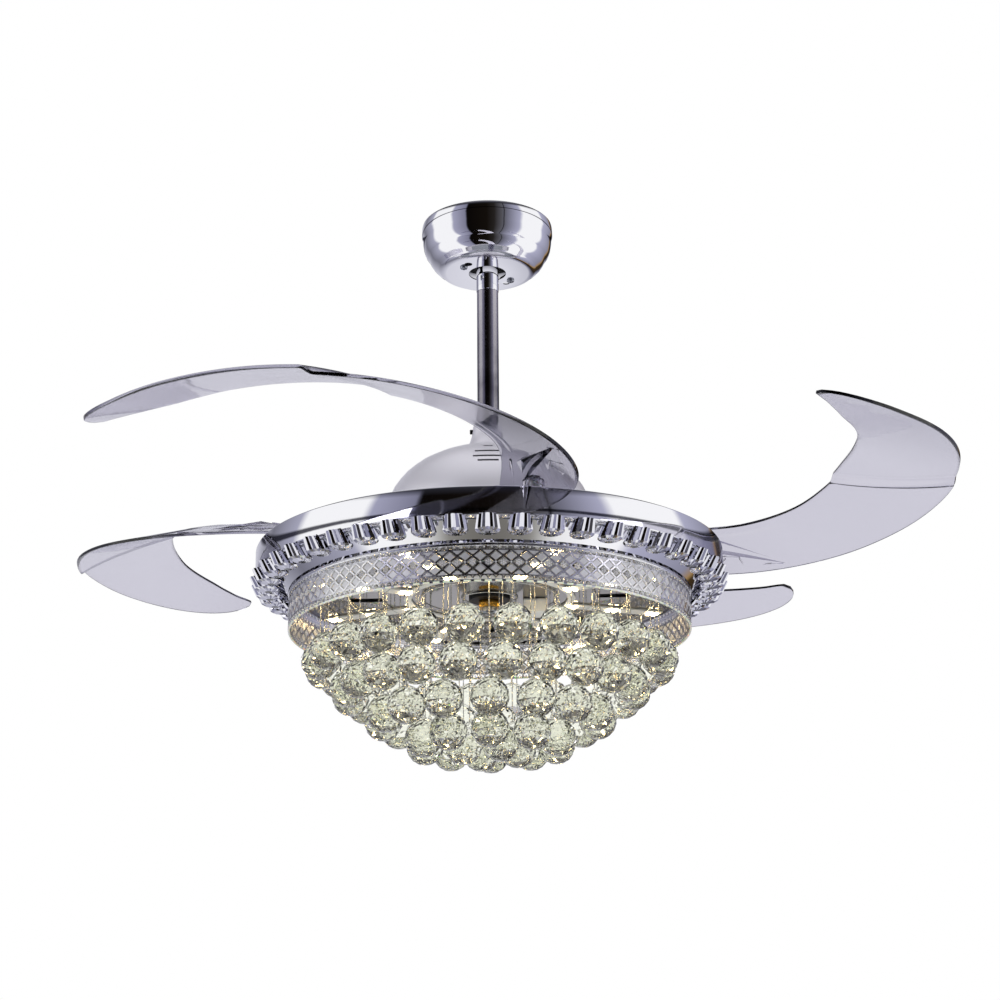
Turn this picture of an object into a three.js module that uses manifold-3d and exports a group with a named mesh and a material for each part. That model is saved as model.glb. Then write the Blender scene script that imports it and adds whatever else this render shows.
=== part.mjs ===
// Retractable-blade ceiling fan with a crystal lamp below it.
// Millimetres, +Z up. The origin is on the ceiling, on the axis of the fan, and the fan hangs below it.
// Four clear sickle blades pivot on a turning disc. They are modelled swung out, and fold in over the lamp.

import * as THREE from 'three';
import { mergeVertices } from 'three/addons/utils/BufferGeometryUtils.js';
import Module from 'manifold-3d';

const wasm = await Module();
wasm.setup();

// ---------------------------------------------------------------- driving dimensions
const gap = 0.3; // between pieces that seat on or touch each other
const past = 1; // how far a cutter runs past the face that it cuts, and a joined piece into its neighbour
const degree = Math.PI / 180;

// facets round the turned pieces
const screwFacets = 8;
const boltFacets = 10;
const shaftFacets = 16;
const rodFacets = 18;
const seatFacets = 20;
const coverFacets = 26;
const discFacets = 40;

// levels, measured from the ceiling
const lampTopZ = -390; // top edge of the chrome band, and the zero of everything on the motor and the lamp

// ceiling bracket, canopy and hanger ball
const bracketTurn = 35 * degree;
const bracketLength = 92;
const bracketWidth = 34;
const bracketThickness = 2.5;
const bracketLegX = 37;
const bracketFootLength = 14;
const bracketSlotX = 26;
const bracketSlotRadius = 2.75;
const seatOuterRadius = 30;
const seatArmRoot = 4; // how far an arm reaches into the seat
const seatHeight = 6;
const seatDrop = 10; // from the ball's centre to the top of its seat
const ballRadius = 25;
const ballHalfHeight = 17;
const ballCentreZ = -28;
const ballPlay = 6 * degree; // how far the rod may lean in the ball
const canopyTopRadius = 73.5;
const canopyCreaseRadius = 66.5;
const canopyCreaseZ = -33;
const canopyCreaseDepth = 4; // the wall steps out by this over the height of the crease
const canopyCreaseHeight = 8;
const canopyShoulder = 3;
const canopyShoulderHeight = 9;
const canopyTaper = 0.5;
const canopyBottomRadius = 48;
const canopyFootWidth = 6;
const canopyFootHeight = 4;
const canopyHeight = 56;
const canopyWall = 1.2;
const canopyHoleRadius = 21;
const canopyScrewX = 32;
const canopyScrewRadius = 2;
const canopyScrewHeadRadius = 4.2;
const canopyScrewHeadHeight = 2.4;
const canopyScrewReach = 4; // past the bracket's foot
const canopySlotLength = 9;

// downrod, coupling and shaft
const rodRadius = 12.5;
const rodWall = 1.6;
const rodTopZ = -10;
const crossPinRadius = 3;
const crossPinLength = 40;
const couplingTop = 136; // above the band's top edge
const couplingBottom = 96;
const couplingRadius = 15.2;
const couplingFloor = 12;
const rodSocketDepth = 24;
const boltRadius = 2.5;
const boltHeadRadius = 4.6;
const boltHeadHeight = 2.6;
const boltHeight = 122;
const shaftRadius = 8;
const shaftBoreRadius = 4.5;
const shaftBottom = -60;

// motor cover
const neckTop = 150;
const neckRadius = 17;
const neckFootRadius = 26.5;
const neckFootHeight = 121;
const neckFlare = 5.5; // the neck draws in by this over the height of its flare
const neckFlareHeight = 9;
const neckTaper = 0.8;
const neckTaperHeight = 12;
const neckCollarHeight = 3;
const coverRadius = 114;
const coverRimHeight = 36;
const coverWall = 1.5;
const coverPoints = [[38, 118.5], [54.5, 112.5], [71, 104.5], [86, 94.5], [99, 81], [108, 65], [112.8, 50]];
const ventLevels = [127, 120.5, 114.5];
const ventHalfWidths = [6, 12, 15];
const ventHeight = 2.2;
const neckScrewHeight = 144;
const neckScrewRadius = 2.6;
const neckScrewProud = 3;

// motor
const bearingRadius = 17;
const bearingHeight = 12;
const housingRadius = 88;
const housingWall = 3;
const housingTop = 74;
const housingChamfer = 9;
const magnetThickness = 4.5;
const magnetHeight = 34;
const airGap = 0.8;
const toothCount = 9;
const toothHeadWidth = 44;
const toothWidth = 14;
const toothHeadDepth = 6;
const toothHeadInset = 1;
const toothRootDepth = 5;
const statorHubRadius = 30;
const statorHeight = 26;
const statorBase = 26;
const statorFacets = 27;
const windingInnerRadius = 38;
const windingWidth = 26;
const windingHeight = 9;
const motorSegments = 28; // facets round the rotor housing and the magnets in it

// blade disc
const discRadius = 214;
const discThickness = 2.5;
const discTop = -0.5;
const discHubRadius = 24;
const discHubTop = 14;

// blades. Each outline is drawn round its own centre, which lands on the fan's axis when the blade is folded.
const bladeCount = 4;
const pivotX = 46;
const pivotY = -194.5;
const bladeFold = 84 * degree; // from swung out to folded
const bladeOuterRadius = 252.5;
const bladeThickness = 3;
const bladeStep = 6; // a low step across the middle of the blade, up towards the tip
const bladeStepStart = -89;
const bladeStepEnd = -92;
const bladeLean = 24.6; // the step's inner end lies this many degrees nearer the root than its outer end
const bladeLeanSpread = 66; // the degrees either side of the step over which the lean dies away
// The tip rides higher than the root, so it passes over the next blade's root, and the inner edge is higher
// than the outer one, as on the dome that the blades fold round. Each row is the angle round the blade's
// centre, how far the outer edge lies inside the outer radius, the width, the height over the band's top edge
// at the pivot's distance from that centre, and the fall for each millimetre further out.
const bladeOutline = [
  [25, 52, 20, 12, 0.41], [18, 40, 40, 14.5, 0.41], [8, 24, 61, 18, 0.41], [-4, 13, 73, 20.5, 0.41],
  [-20, 5.5, 79, 24, 0.4], [-40, 0.5, 88.5, 30, 0.37], [-60, 0, 99, 36.5, 0.33],
  [-80, 0.5, 105.5, 41.5, 0.28], [-100, 0.5, 102, 43.5, 0.25], [-120, 0, 90, 43, 0.25],
  [-137, 0.5, 75, 42.5, 0.25], [-147, 1, 57, 44.5, 0.25], [-153, 4.5, 39, 47, 0.25],
  [-156.5, 11, 24, 49, 0.25], [-158.5, 20, 9, 50, 0.25],
];
const bossRadius = 11;
const bossRise = 5; // above the blade's face
const bushWall = 1.7;
const bushFlangeRadius = 9.5;
const bushFlangeHeight = 1.2;
const pivotPinRadius = 4;
const pivotHeadRadius = 8;
const pivotHeadHeight = 3.2;
const pivotNutRadius = 7.5;
const pivotNutHeight = 2.4;
const pivotPinProud = 0.5; // past the nut
const springWidth = 1.8;
const springHeight = 9;

// lamp body
const bandRadius = 250;
const bandHeight = 29;
const bandWall = 2;
const bandLip = 5;
const bandTopChamfer = 1.5;
const bandFootTaper = 0.8;
const bandFootHeight = 2;
const rimSegments = 48; // facets round the band and everything nested in it
const trayTop = -9;
const trayThickness = 2;
const rimWidth = 36.2; // from the filigree out to the band
const filigreeTop = -47;
const filigreeHeight = 38.5;
const filigreeWall = 1.4;
const filigreeWindows = 36;
const filigreeRimHeight = 5.5;
const filigreeBarWidth = 3.4;
const filigreeRows = 2;
const skirtWall = 1.5;
const skirtTop = -26;
const skirtStepWidth = 17; // the flat step under the band, from the band's outside in to the shoulder
const skirtFootWidth = 1; // past the filigree
const skirtFootHeight = 3;
const skirtFlange = 9;
const plateInset = 2; // the plate's edge inside the filigree's outside
const plateThickness = 2;
const plateSlotRadius = 132;
const plateSlotLength = 34;
const plateSlotWidth = 15;
const standoffRadius = 5;
const standoffPitchRadius = 150;
const standoffCount = 3;

// rim crystals
const drumCount = 48;
const drumRadius = 12.5;
const drumTopRadius = 10.5;
const drumHeight = 12;
const drumLean = 33 * degree; // the drums' sides lean out at the top, and their ends are level
const drumInset = 8.5; // from the band's outside in to the drums' centres
const drumSides = 6;
const drumWireRadius = 1.2;

// lamp parts below the mirror plate
const boardThickness = 1.6;
const boardSpokes = 8;
const boardSpokeWidth = 16;
const boardInset = 12.8; // from the plate's edge to the ends of the spokes
const boardHubRadius = 84;
const boardHubWidth = 8;
const boardTurn = 20 * degree;
const boardFacets = 24;
const washerRadius = 22;
const washerHeight = 3;
const nutRadius = 13;
const nutHeight = 8;
const driverX = 49;
const driverY = 14;
const driverWidth = 26;
const driverLength = 28;
const driverHeight = 15;

// crystal tiers: each hangs inside the tier above it, and lower
const crystalRadius = 20;
const crystalRows = 3;
const crystalSides = 6;
const hangerWireRadius = 0.9;
const hangerRingFacets = 15; // at least
const pegCount = 4; // pegs that hold a hanger ring to the mirror plate, clear of the board's spokes
const hangerRingDrop = 6; // from the mirror plate down to the middle of a tier's hanger ring
const firstTierInset = 31.8; // from the plate's edge
const firstTierDrop = 118; // from the band's top edge to the centres of the balls
const firstTierSpacing = 47; // along the ring, at least
const secondTierInset = 30; // from the tier above, as for those below it
const secondTierDrop = 30;
const secondTierSpacing = 44.8;
const thirdTierInset = 36;
const thirdTierDrop = 29;
const thirdTierSpacing = 47.6;
const fourthTierInset = 41;
const fourthTierDrop = 24;
const fourthTierSpacing = 45.8;
const fifthTierInset = 43;
const fifthTierDrop = 6;
const fifthTierSpacing = 47;

// ---------------------------------------------------------------- sizes worked out from them
const shaftTop = couplingBottom + couplingFloor - gap;
const skirtBottom = filigreeTop + gap;
const plateBottom = skirtBottom + skirtWall + gap;
const plateTop = plateBottom + plateThickness;
const filigreeRadius = bandRadius - rimWidth;
const plateRadius = filigreeRadius - plateInset;
const skirtShoulderRadius = bandRadius - skirtStepWidth;
const drumPitchRadius = bandRadius - drumInset;
const boardRadius = plateRadius - boardInset;
const bushBoreRadius = pivotPinRadius + gap;
const bushRadius = bushBoreRadius + bushWall;
const bossBottom = discTop + gap + bushFlangeHeight + gap;
const statorRadius = housingRadius - housingWall - gap - magnetThickness - airGap;
const statorTop = statorBase + statorHeight;
const drumLevel = -bandHeight - gap - drumHeight / 2; // the drums' upper ends touch the band's lower edge
// the blade's centre, swung out: folded, it lies on the fan's axis
const bladeCentreX = pivotX - pivotX * Math.cos(bladeFold) + pivotY * Math.sin(bladeFold);
const bladeCentreY = pivotY - pivotX * Math.sin(bladeFold) - pivotY * Math.cos(bladeFold);
const pivotAngle = Math.atan2(pivotY - bladeCentreY, pivotX - bladeCentreX) / degree;
const pivotArm = Math.hypot(pivotX, pivotY);
const tiers = [
  { inset: firstTierInset, drop: firstTierDrop, spacing: firstTierSpacing, turn: 7.5 * degree },
  { inset: secondTierInset, drop: secondTierDrop, spacing: secondTierSpacing, turn: 1 * degree },
  { inset: thirdTierInset, drop: thirdTierDrop, spacing: thirdTierSpacing, turn: 6 * degree },
  { inset: fourthTierInset, drop: fourthTierDrop, spacing: fourthTierSpacing, turn: 18 * degree },
  { inset: fifthTierInset, drop: fifthTierDrop, spacing: fifthTierSpacing, turn: 20 * degree },
];
tiers.forEach((tier, index) => {
  const above = tiers[index - 1] ?? { radius: plateRadius, level: 0 };
  tier.radius = above.radius - tier.inset;
  tier.level = above.level - tier.drop;
  tier.count = Math.max(1, Math.floor((2 * Math.PI * tier.radius) / tier.spacing));
});

// ---------------------------------------------------------------- finishes
function finish(color, roughness, metalness) {
  return new THREE.MeshStandardMaterial({ color, roughness, metalness });
}

const chrome = finish(0xd4d6dc, 0.08, 1);
const satinGrey = finish(0xb9b7bd, 0.4, 0.6);
const zincSteel = finish(0xa9adb2, 0.45, 1);
const blackSteel = finish(0x17171a, 0.45, 0.6);
const brass = finish(0xb98d3c, 0.3, 1);
const copper = finish(0xb4693a, 0.4, 1);
const laminations = finish(0x6a6c70, 0.6, 0.8);
const ferrite = finish(0x3a3a3d, 0.8, 0.2);
const acrylic = new THREE.MeshStandardMaterial({
  color: 0xcdc3dc, roughness: 0.08, metalness: 0, transparent: true, opacity: 0.45, side: THREE.DoubleSide,
});
const crystal = new THREE.MeshStandardMaterial({
  color: 0xe9ecdd, roughness: 0.02, metalness: 0, transparent: true, opacity: 0.6,
});
const nylon = finish(0xe8e6de, 0.5, 0);
const whitePlastic = finish(0xf0efea, 0.4, 0);
const blackPlastic = finish(0x141416, 0.5, 0);

// ---------------------------------------------------------------- helpers
const fan = new THREE.Group();

function addPiece(parent, name, geometry, material) {
  const mesh = new THREE.Mesh(geometry, material);
  mesh.name = name;
  parent.add(mesh);
  return mesh;
}

function addGroup(parent, x = 0, y = 0, z = 0, turn = 0) {
  const group = new THREE.Group();
  group.position.set(x, y, z);
  group.rotation.z = turn;
  parent.add(group);
  return group;
}

function toSolid(geometry) {
  const bare = geometry.clone();
  bare.deleteAttribute('normal');
  bare.deleteAttribute('uv');
  const merged = mergeVertices(bare, 1e-4);
  const triVerts = new Uint32Array(merged.index.array);
  const vertProperties = new Float32Array(merged.attributes.position.array);
  return new wasm.Manifold(new wasm.Mesh({ numProp: 3, vertProperties, triVerts }));
}

function toGeometry(solid) {
  const mesh = solid.getMesh();
  const geometry = new THREE.BufferGeometry();
  geometry.setAttribute('position', new THREE.BufferAttribute(new Float32Array(mesh.vertProperties), 3));
  geometry.setIndex(new THREE.BufferAttribute(new Uint32Array(mesh.triVerts), 1));
  return geometry;
}

function join(geometries) {
  return toGeometry(geometries.map(toSolid).reduce((whole, next) => whole.add(next)));
}

function cut(geometry, tools) {
  const whole = toSolid(geometry);
  return toGeometry(tools.map(toSolid).reduce((rest, tool) => rest.subtract(tool), whole));
}

// A solid turned round Z. The profile is a list of [radius, height], anticlockwise seen with Z up.
function turned(profile, segments) {
  const points = profile.map(([radius, height]) => new THREE.Vector2(radius, height));
  const geometry = new THREE.LatheGeometry([...points, points[0]], segments);
  geometry.rotateX(Math.PI / 2);
  return geometry;
}

function ring(innerRadius, outerRadius, bottom, top, segments) {
  const profile = [[innerRadius, bottom], [outerRadius, bottom], [outerRadius, top], [innerRadius, top]];
  return turned(profile, segments);
}

function upright(radius, bottom, top, segments, x = 0, y = 0) {
  const geometry = new THREE.CylinderGeometry(radius, radius, top - bottom, segments);
  geometry.rotateX(Math.PI / 2);
  geometry.translate(x, y, (top + bottom) / 2);
  return geometry;
}

// A round hole's cutter: its flats, not its corners, lie on the radius.
function bore(radius, bottom, top, segments, x = 0, y = 0) {
  return upright(radius / Math.cos(Math.PI / segments), bottom, top, segments, x, y);
}

function lying(radius, length, segments, axis, x, y, z) {
  const geometry = new THREE.CylinderGeometry(radius, radius, length, segments);
  if (axis === 'x') geometry.rotateZ(Math.PI / 2);
  geometry.translate(x, y, z);
  return geometry;
}

function block(width, depth, bottom, top, x = 0, y = 0) {
  const geometry = new THREE.BoxGeometry(width, depth, top - bottom);
  geometry.translate(x, y, (top + bottom) / 2);
  return geometry;
}

function turnedRound(geometry, angle) {
  const copy = geometry.clone();
  copy.rotateZ(angle);
  return copy;
}

function spread(count, make) {
  return Array.from({ length: count }, (_, index) => make(index, (index * 2 * Math.PI) / count));
}

// ---------------------------------------------------------------- ceiling bracket, canopy and hanger ball
function bracketGeometry() {
  const footTop = -canopyHeight + canopyWall + 2 * gap + bracketThickness;
  const seatTop = ballCentreZ - seatDrop;
  const pieces = [block(bracketLength, bracketWidth, -bracketThickness, 0)];
  for (const side of [-1, 1]) {
    const legCentre = side * (bracketLegX - bracketThickness / 2);
    const footCentre = side * (bracketLegX - bracketFootLength / 2);
    const armInner = seatOuterRadius - seatArmRoot;
    const armLength = bracketLegX - armInner;
    pieces.push(block(bracketThickness, bracketWidth / 2, footTop - bracketThickness, -past, legCentre));
    pieces.push(block(bracketFootLength, bracketWidth / 2, footTop - bracketThickness, footTop, footCentre));
    const armCentre = side * (armInner + armLength / 2);
    pieces.push(block(armLength, bracketWidth / 2, seatTop - seatHeight, seatTop, armCentre));
  }
  pieces.push(upright(seatOuterRadius, seatTop - seatHeight, seatTop, seatFacets));
  const ballSpace = new THREE.SphereGeometry(ballRadius + gap, seatFacets, 14);
  ballSpace.rotateX(Math.PI / 2);
  ballSpace.translate(0, 0, ballCentreZ);
  const tools = [ballSpace];
  for (const side of [-1, 1]) {
    const slotBottom = -bracketThickness - past;
    tools.push(bore(bracketSlotRadius, slotBottom, past, boltFacets, side * bracketSlotX));
    const holeBottom = footTop - bracketThickness - past;
    const holeRadius = canopyScrewRadius + gap;
    tools.push(bore(holeRadius, holeBottom, footTop + past, screwFacets, side * canopyScrewX));
  }
  return cut(join(pieces), tools);
}

// Keyhole slots in the flat bottom let the canopy hang on two screws.
function canopyGeometry() {
  const outer = [
    [canopyBottomRadius, -canopyHeight],
    [canopyBottomRadius + canopyFootWidth, -canopyHeight + canopyFootHeight],
    [canopyCreaseRadius - canopyCreaseDepth, canopyCreaseZ - canopyCreaseHeight],
    [canopyCreaseRadius, canopyCreaseZ],
    [canopyTopRadius - canopyShoulder, canopyCreaseZ + canopyShoulderHeight],
    [canopyTopRadius - canopyTaper, canopyCreaseZ / 2],
    [canopyTopRadius, 0],
  ];
  // the inside runs straight past the creases
  const inner = [6, 3, 1].map((place) => [outer[place][0] - canopyWall, outer[place][1]]);
  const floor = -canopyHeight + canopyWall;
  const profile = [
    [canopyHoleRadius, -canopyHeight], ...outer, ...inner,
    [canopyBottomRadius - canopyWall, floor], [canopyHoleRadius, floor],
  ];
  const tools = [];
  for (const side of [-1, 1]) {
    const x = side * canopyScrewX;
    const y = side * canopySlotLength;
    const low = -canopyHeight - past;
    const high = floor + past;
    tools.push(bore(canopyScrewRadius + gap, low, high, screwFacets, x));
    tools.push(block(2 * (canopyScrewRadius + gap), canopySlotLength, low, high, x, y / 2));
    tools.push(bore(canopyScrewHeadRadius + gap, low, high, boltFacets, x, y));
  }
  return cut(turned(profile, coverFacets), tools);
}

function canopyScrewGeometry() {
  const headTop = -canopyHeight - gap;
  const shankTop = -canopyHeight + canopyWall + bracketThickness + canopyScrewReach;
  const head = upright(canopyScrewHeadRadius, headTop - canopyScrewHeadHeight, headTop, boltFacets);
  return join([head, upright(canopyScrewRadius, headTop - past, shankTop, screwFacets)]);
}

function hangerBallGeometry() {
  const steps = 6;
  const edge = Math.asin(ballHalfHeight / ballRadius);
  const arc = Array.from({ length: steps + 1 }, (_, index) => {
    const angle = -edge + (2 * edge * index) / steps;
    return [ballRadius * Math.cos(angle), ballRadius * Math.sin(angle)];
  });
  const waist = rodRadius + 2 * gap;
  const mouth = waist + ballHalfHeight * Math.tan(ballPlay);
  const ball = turned([[mouth, -ballHalfHeight], ...arc, [mouth, ballHalfHeight], [waist, 0]], seatFacets);
  return cut(ball, [lying(crossPinRadius + gap, 3 * ballRadius, screwFacets, 'y', 0, 0, 0)]);
}

function rodGeometry() {
  const bottom = lampTopZ + couplingTop - rodSocketDepth;
  const tube = ring(rodRadius - rodWall, rodRadius, bottom, rodTopZ, rodFacets);
  const pinHole = lying(crossPinRadius + gap, 3 * rodRadius, screwFacets, 'y', 0, 0, ballCentreZ);
  const boltHole = lying(boltRadius + gap, 3 * rodRadius, screwFacets, 'x', 0, 0, lampTopZ + boltHeight);
  return cut(tube, [pinHole, boltHole]);
}

const ceilingMount = addGroup(fan, 0, 0, 0, bracketTurn);
addPiece(ceilingMount, 'ceiling_bracket', bracketGeometry(), zincSteel);
addPiece(ceilingMount, 'canopy', canopyGeometry(), chrome);
for (const side of [-1, 1]) {
  const place = addGroup(ceilingMount, side * canopyScrewX);
  addPiece(place, side < 0 ? 'canopy_screw_1' : 'canopy_screw_2', canopyScrewGeometry(), zincSteel);
}
const ballPlace = addGroup(fan, 0, 0, ballCentreZ);
addPiece(ballPlace, 'hanger_ball', hangerBallGeometry(), blackPlastic);
const crossPinShape = lying(crossPinRadius, crossPinLength, screwFacets, 'y', 0, 0, 0);
addPiece(ballPlace, 'hanger_cross_pin', crossPinShape, zincSteel);
addPiece(fan, 'downrod', rodGeometry(), chrome);

// ---------------------------------------------------------------- coupling, shaft and motor cover
function couplingGeometry() {
  const socket = rodRadius + gap;
  const boreFloor = couplingTop - rodSocketDepth - gap;
  const shaftHole = shaftRadius + gap;
  const profile = [
    [shaftHole, couplingBottom], [couplingRadius, couplingBottom], [couplingRadius, couplingTop],
    [socket, couplingTop], [socket, boreFloor], [shaftBoreRadius, boreFloor],
    [shaftBoreRadius, couplingBottom + couplingFloor], [shaftHole, couplingBottom + couplingFloor],
  ];
  const hole = lying(boltRadius + gap, 3 * couplingRadius, screwFacets, 'x', 0, 0, boltHeight);
  return cut(turned(profile, rodFacets), [hole]);
}

function couplingBoltGeometry() {
  const headStart = couplingRadius + gap;
  const shank = lying(boltRadius, 2 * headStart + boltHeadHeight, screwFacets, 'x', 0, 0, boltHeight);
  const head = lying(boltHeadRadius, boltHeadHeight, 6, 'x', -headStart - boltHeadHeight / 2, 0, boltHeight);
  const nut = lying(boltHeadRadius, boltHeadHeight, 6, 'x', headStart + boltHeadHeight / 2, 0, boltHeight);
  return join([shank, head, nut]);
}

// A satin shell with a flared neck, three rows of vent slots at the front and back, and an open bottom.
function motorCoverGeometry() {
  const neckInner = rodRadius + gap;
  const outer = [
    [coverRadius, coverRimHeight], ...coverPoints.slice().reverse(), [neckFootRadius, neckFootHeight],
    [neckFootRadius - neckFlare, neckFootHeight + neckFlareHeight],
    [neckRadius + neckTaper, neckTop - neckTaperHeight], [neckRadius, neckTop],
  ];
  // the inside follows fewer points than the outside, from the neck down
  const places = [outer.length - 2, coverPoints.length + 1, coverPoints.length - 1, 4, 2];
  const inner = places.map((place) => [outer[place][0] - coverWall, outer[place][1] - coverWall]);
  inner.push([coverRadius - coverWall, coverRimHeight]);
  const collarBottom = neckTop - neckCollarHeight;
  const collar = [
    [neckInner, neckTop], [neckInner, collarBottom], [neckRadius - coverWall + gap, collarBottom],
  ];
  const shell = turned([...outer, ...collar, ...inner], coverFacets);
  const tools = [];
  ventLevels.forEach((level, row) => {
    tools.push(block(2 * ventHalfWidths[row], 3 * coverRadius, level, level + ventHeight));
  });
  const holeRadius = neckScrewRadius + gap;
  tools.push(lying(holeRadius, 2 * neckRadius, screwFacets, 'x', -neckRadius, 0, neckScrewHeight));
  return cut(shell, tools);
}

function neckScrewGeometry() {
  const inner = rodRadius + gap;
  const outer = neckRadius + neckScrewProud;
  return lying(neckScrewRadius, outer - inner, screwFacets, 'x', -(outer + inner) / 2, 0, neckScrewHeight);
}

const frame = addGroup(fan, 0, 0, lampTopZ);
addPiece(frame, 'rod_coupling', couplingGeometry(), zincSteel);
addPiece(frame, 'coupling_bolt', couplingBoltGeometry(), zincSteel);
const shaftShape = ring(shaftBoreRadius, shaftRadius, shaftBottom, shaftTop, shaftFacets);
addPiece(frame, 'motor_shaft', shaftShape, zincSteel);
addPiece(frame, 'motor_cover', motorCoverGeometry(), satinGrey);
addPiece(frame, 'neck_screw', neckScrewGeometry(), blackSteel);

// ---------------------------------------------------------------- motor
function statorGeometry() {
  const toothLength = statorRadius - statorHubRadius;
  const limbLength = toothLength + toothRootDepth - toothHeadInset;
  const limbCentre = statorHubRadius + (toothLength - toothRootDepth - toothHeadInset) / 2;
  const headCentre = statorRadius - toothHeadDepth / 2 - toothHeadInset;
  const hub = upright(statorHubRadius, statorBase, statorTop, shaftFacets);
  const teeth = spread(toothCount, (_, angle) => {
    const limb = block(limbLength, toothWidth, statorBase, statorTop, limbCentre);
    const head = block(toothHeadDepth, toothHeadWidth, statorBase, statorTop, headCentre);
    return [turnedRound(limb, angle), turnedRound(head, angle)];
  }).flat();
  const outline = upright(statorRadius, statorBase - past, statorTop + past, statorFacets);
  const whole = toSolid(join([hub, ...teeth])).intersect(toSolid(outline));
  return cut(toGeometry(whole), [bore(shaftRadius + gap, statorBase - past, statorTop + past, shaftFacets)]);
}

function windingGeometry(bottom) {
  const outer = windingInnerRadius + windingWidth;
  const slope = windingHeight / 3;
  return turned([
    [windingInnerRadius, bottom], [outer, bottom], [outer, bottom + windingHeight - slope],
    [outer - slope, bottom + windingHeight], [windingInnerRadius + slope, bottom + windingHeight],
    [windingInnerRadius, bottom + windingHeight - slope],
  ], rodFacets);
}

function bearingGeometry(bottom) {
  const inner = shaftRadius + gap;
  const outer = bearingRadius - gap;
  return ring(inner, outer, bottom, bottom + bearingHeight, rodFacets);
}

function housingGeometry() {
  const bottom = discTop + gap;
  const under = housingTop - housingWall;
  const inner = housingRadius - housingWall;
  const chamferInside = housingChamfer - housingWall;
  const bearingCup = bearingRadius + housingWall;
  const cupTop = under + bearingHeight;
  return turned([
    [inner, bottom], [housingRadius, bottom], [housingRadius, housingTop - housingChamfer],
    [housingRadius - housingChamfer, housingTop], [bearingCup, housingTop], [bearingCup, cupTop],
    [bearingRadius, cupTop], [bearingRadius, under],
    [inner - chamferInside, under], [inner, under - chamferInside],
  ], motorSegments);
}

function discGeometry() {
  const bottom = discTop - discThickness;
  const plate = turned([
    [bearingRadius, bottom], [discRadius, bottom], [discRadius, discTop], [discHubRadius, discTop],
    [discHubRadius, discHubTop], [bearingRadius, discHubTop],
  ], discFacets);
  const holes = spread(bladeCount, (_, angle) => {
    const hole = bore(pivotPinRadius + gap, bottom - past, discTop + past, screwFacets, pivotX, pivotY);
    return turnedRound(hole, angle);
  });
  return cut(plate, holes);
}

const magnetOuter = housingRadius - housingWall - gap;
const magnetInner = magnetOuter - magnetThickness;
const magnetBottom = statorBase + (statorHeight - magnetHeight) / 2;
const magnetTop = magnetBottom + magnetHeight;
addPiece(frame, 'stator_core', statorGeometry(), laminations);
addPiece(frame, 'winding_top', windingGeometry(statorTop + gap), copper);
addPiece(frame, 'winding_bottom', windingGeometry(statorBase - gap - windingHeight), copper);
addPiece(frame, 'bearing_top', bearingGeometry(housingTop - housingWall), zincSteel);
addPiece(frame, 'bearing_bottom', bearingGeometry(discHubTop - bearingHeight), zincSteel);
addPiece(frame, 'rotor_housing', housingGeometry(), zincSteel);
const magnetShape = ring(magnetInner, magnetOuter, magnetBottom, magnetTop, motorSegments);
addPiece(frame, 'magnet_ring', magnetShape, ferrite);
addPiece(frame, 'blade_disc', discGeometry(), zincSteel);

// ---------------------------------------------------------------- blades
// One column of the outline as a smooth curve, read at an angle.
function outlineCurve(column) {
  const points = bladeOutline.map((row) => new THREE.Vector3(row[0], row[column], 0));
  const path = new THREE.CatmullRomCurve3(points, false, 'centripetal');
  const last = points.length - 1;
  return (angle) => {
    const index = points.findIndex((point, place) => place === last - 1 || angle >= points[place + 1].x);
    const span = (points[index].x - angle) / (points[index].x - points[index + 1].x);
    return path.getPoint((index + THREE.MathUtils.clamp(span, 0, 1)) / last).y;
  };
}

const [insetAt, widthAt, levelAt, fallAt] = [1, 2, 3, 4].map(outlineCurve);

// The middle of the sheet at an angle and radius, without the step.
function bladeSurface(angle, radius) {
  return levelAt(angle) - fallAt(angle) * (radius - pivotArm);
}

// Where each row of points across the blade starts, at the outer edge: close together at the step.
function bladeStations() {
  const angles = bladeOutline.map((row) => row[0]);
  const between = angles.slice(3, 8).map((value, place) => (value + angles[place + 4]) / 2);
  return [...angles, ...between.slice(0, 4), bladeStepStart, bladeStepEnd].sort((a, b) => b - a);
}

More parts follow.
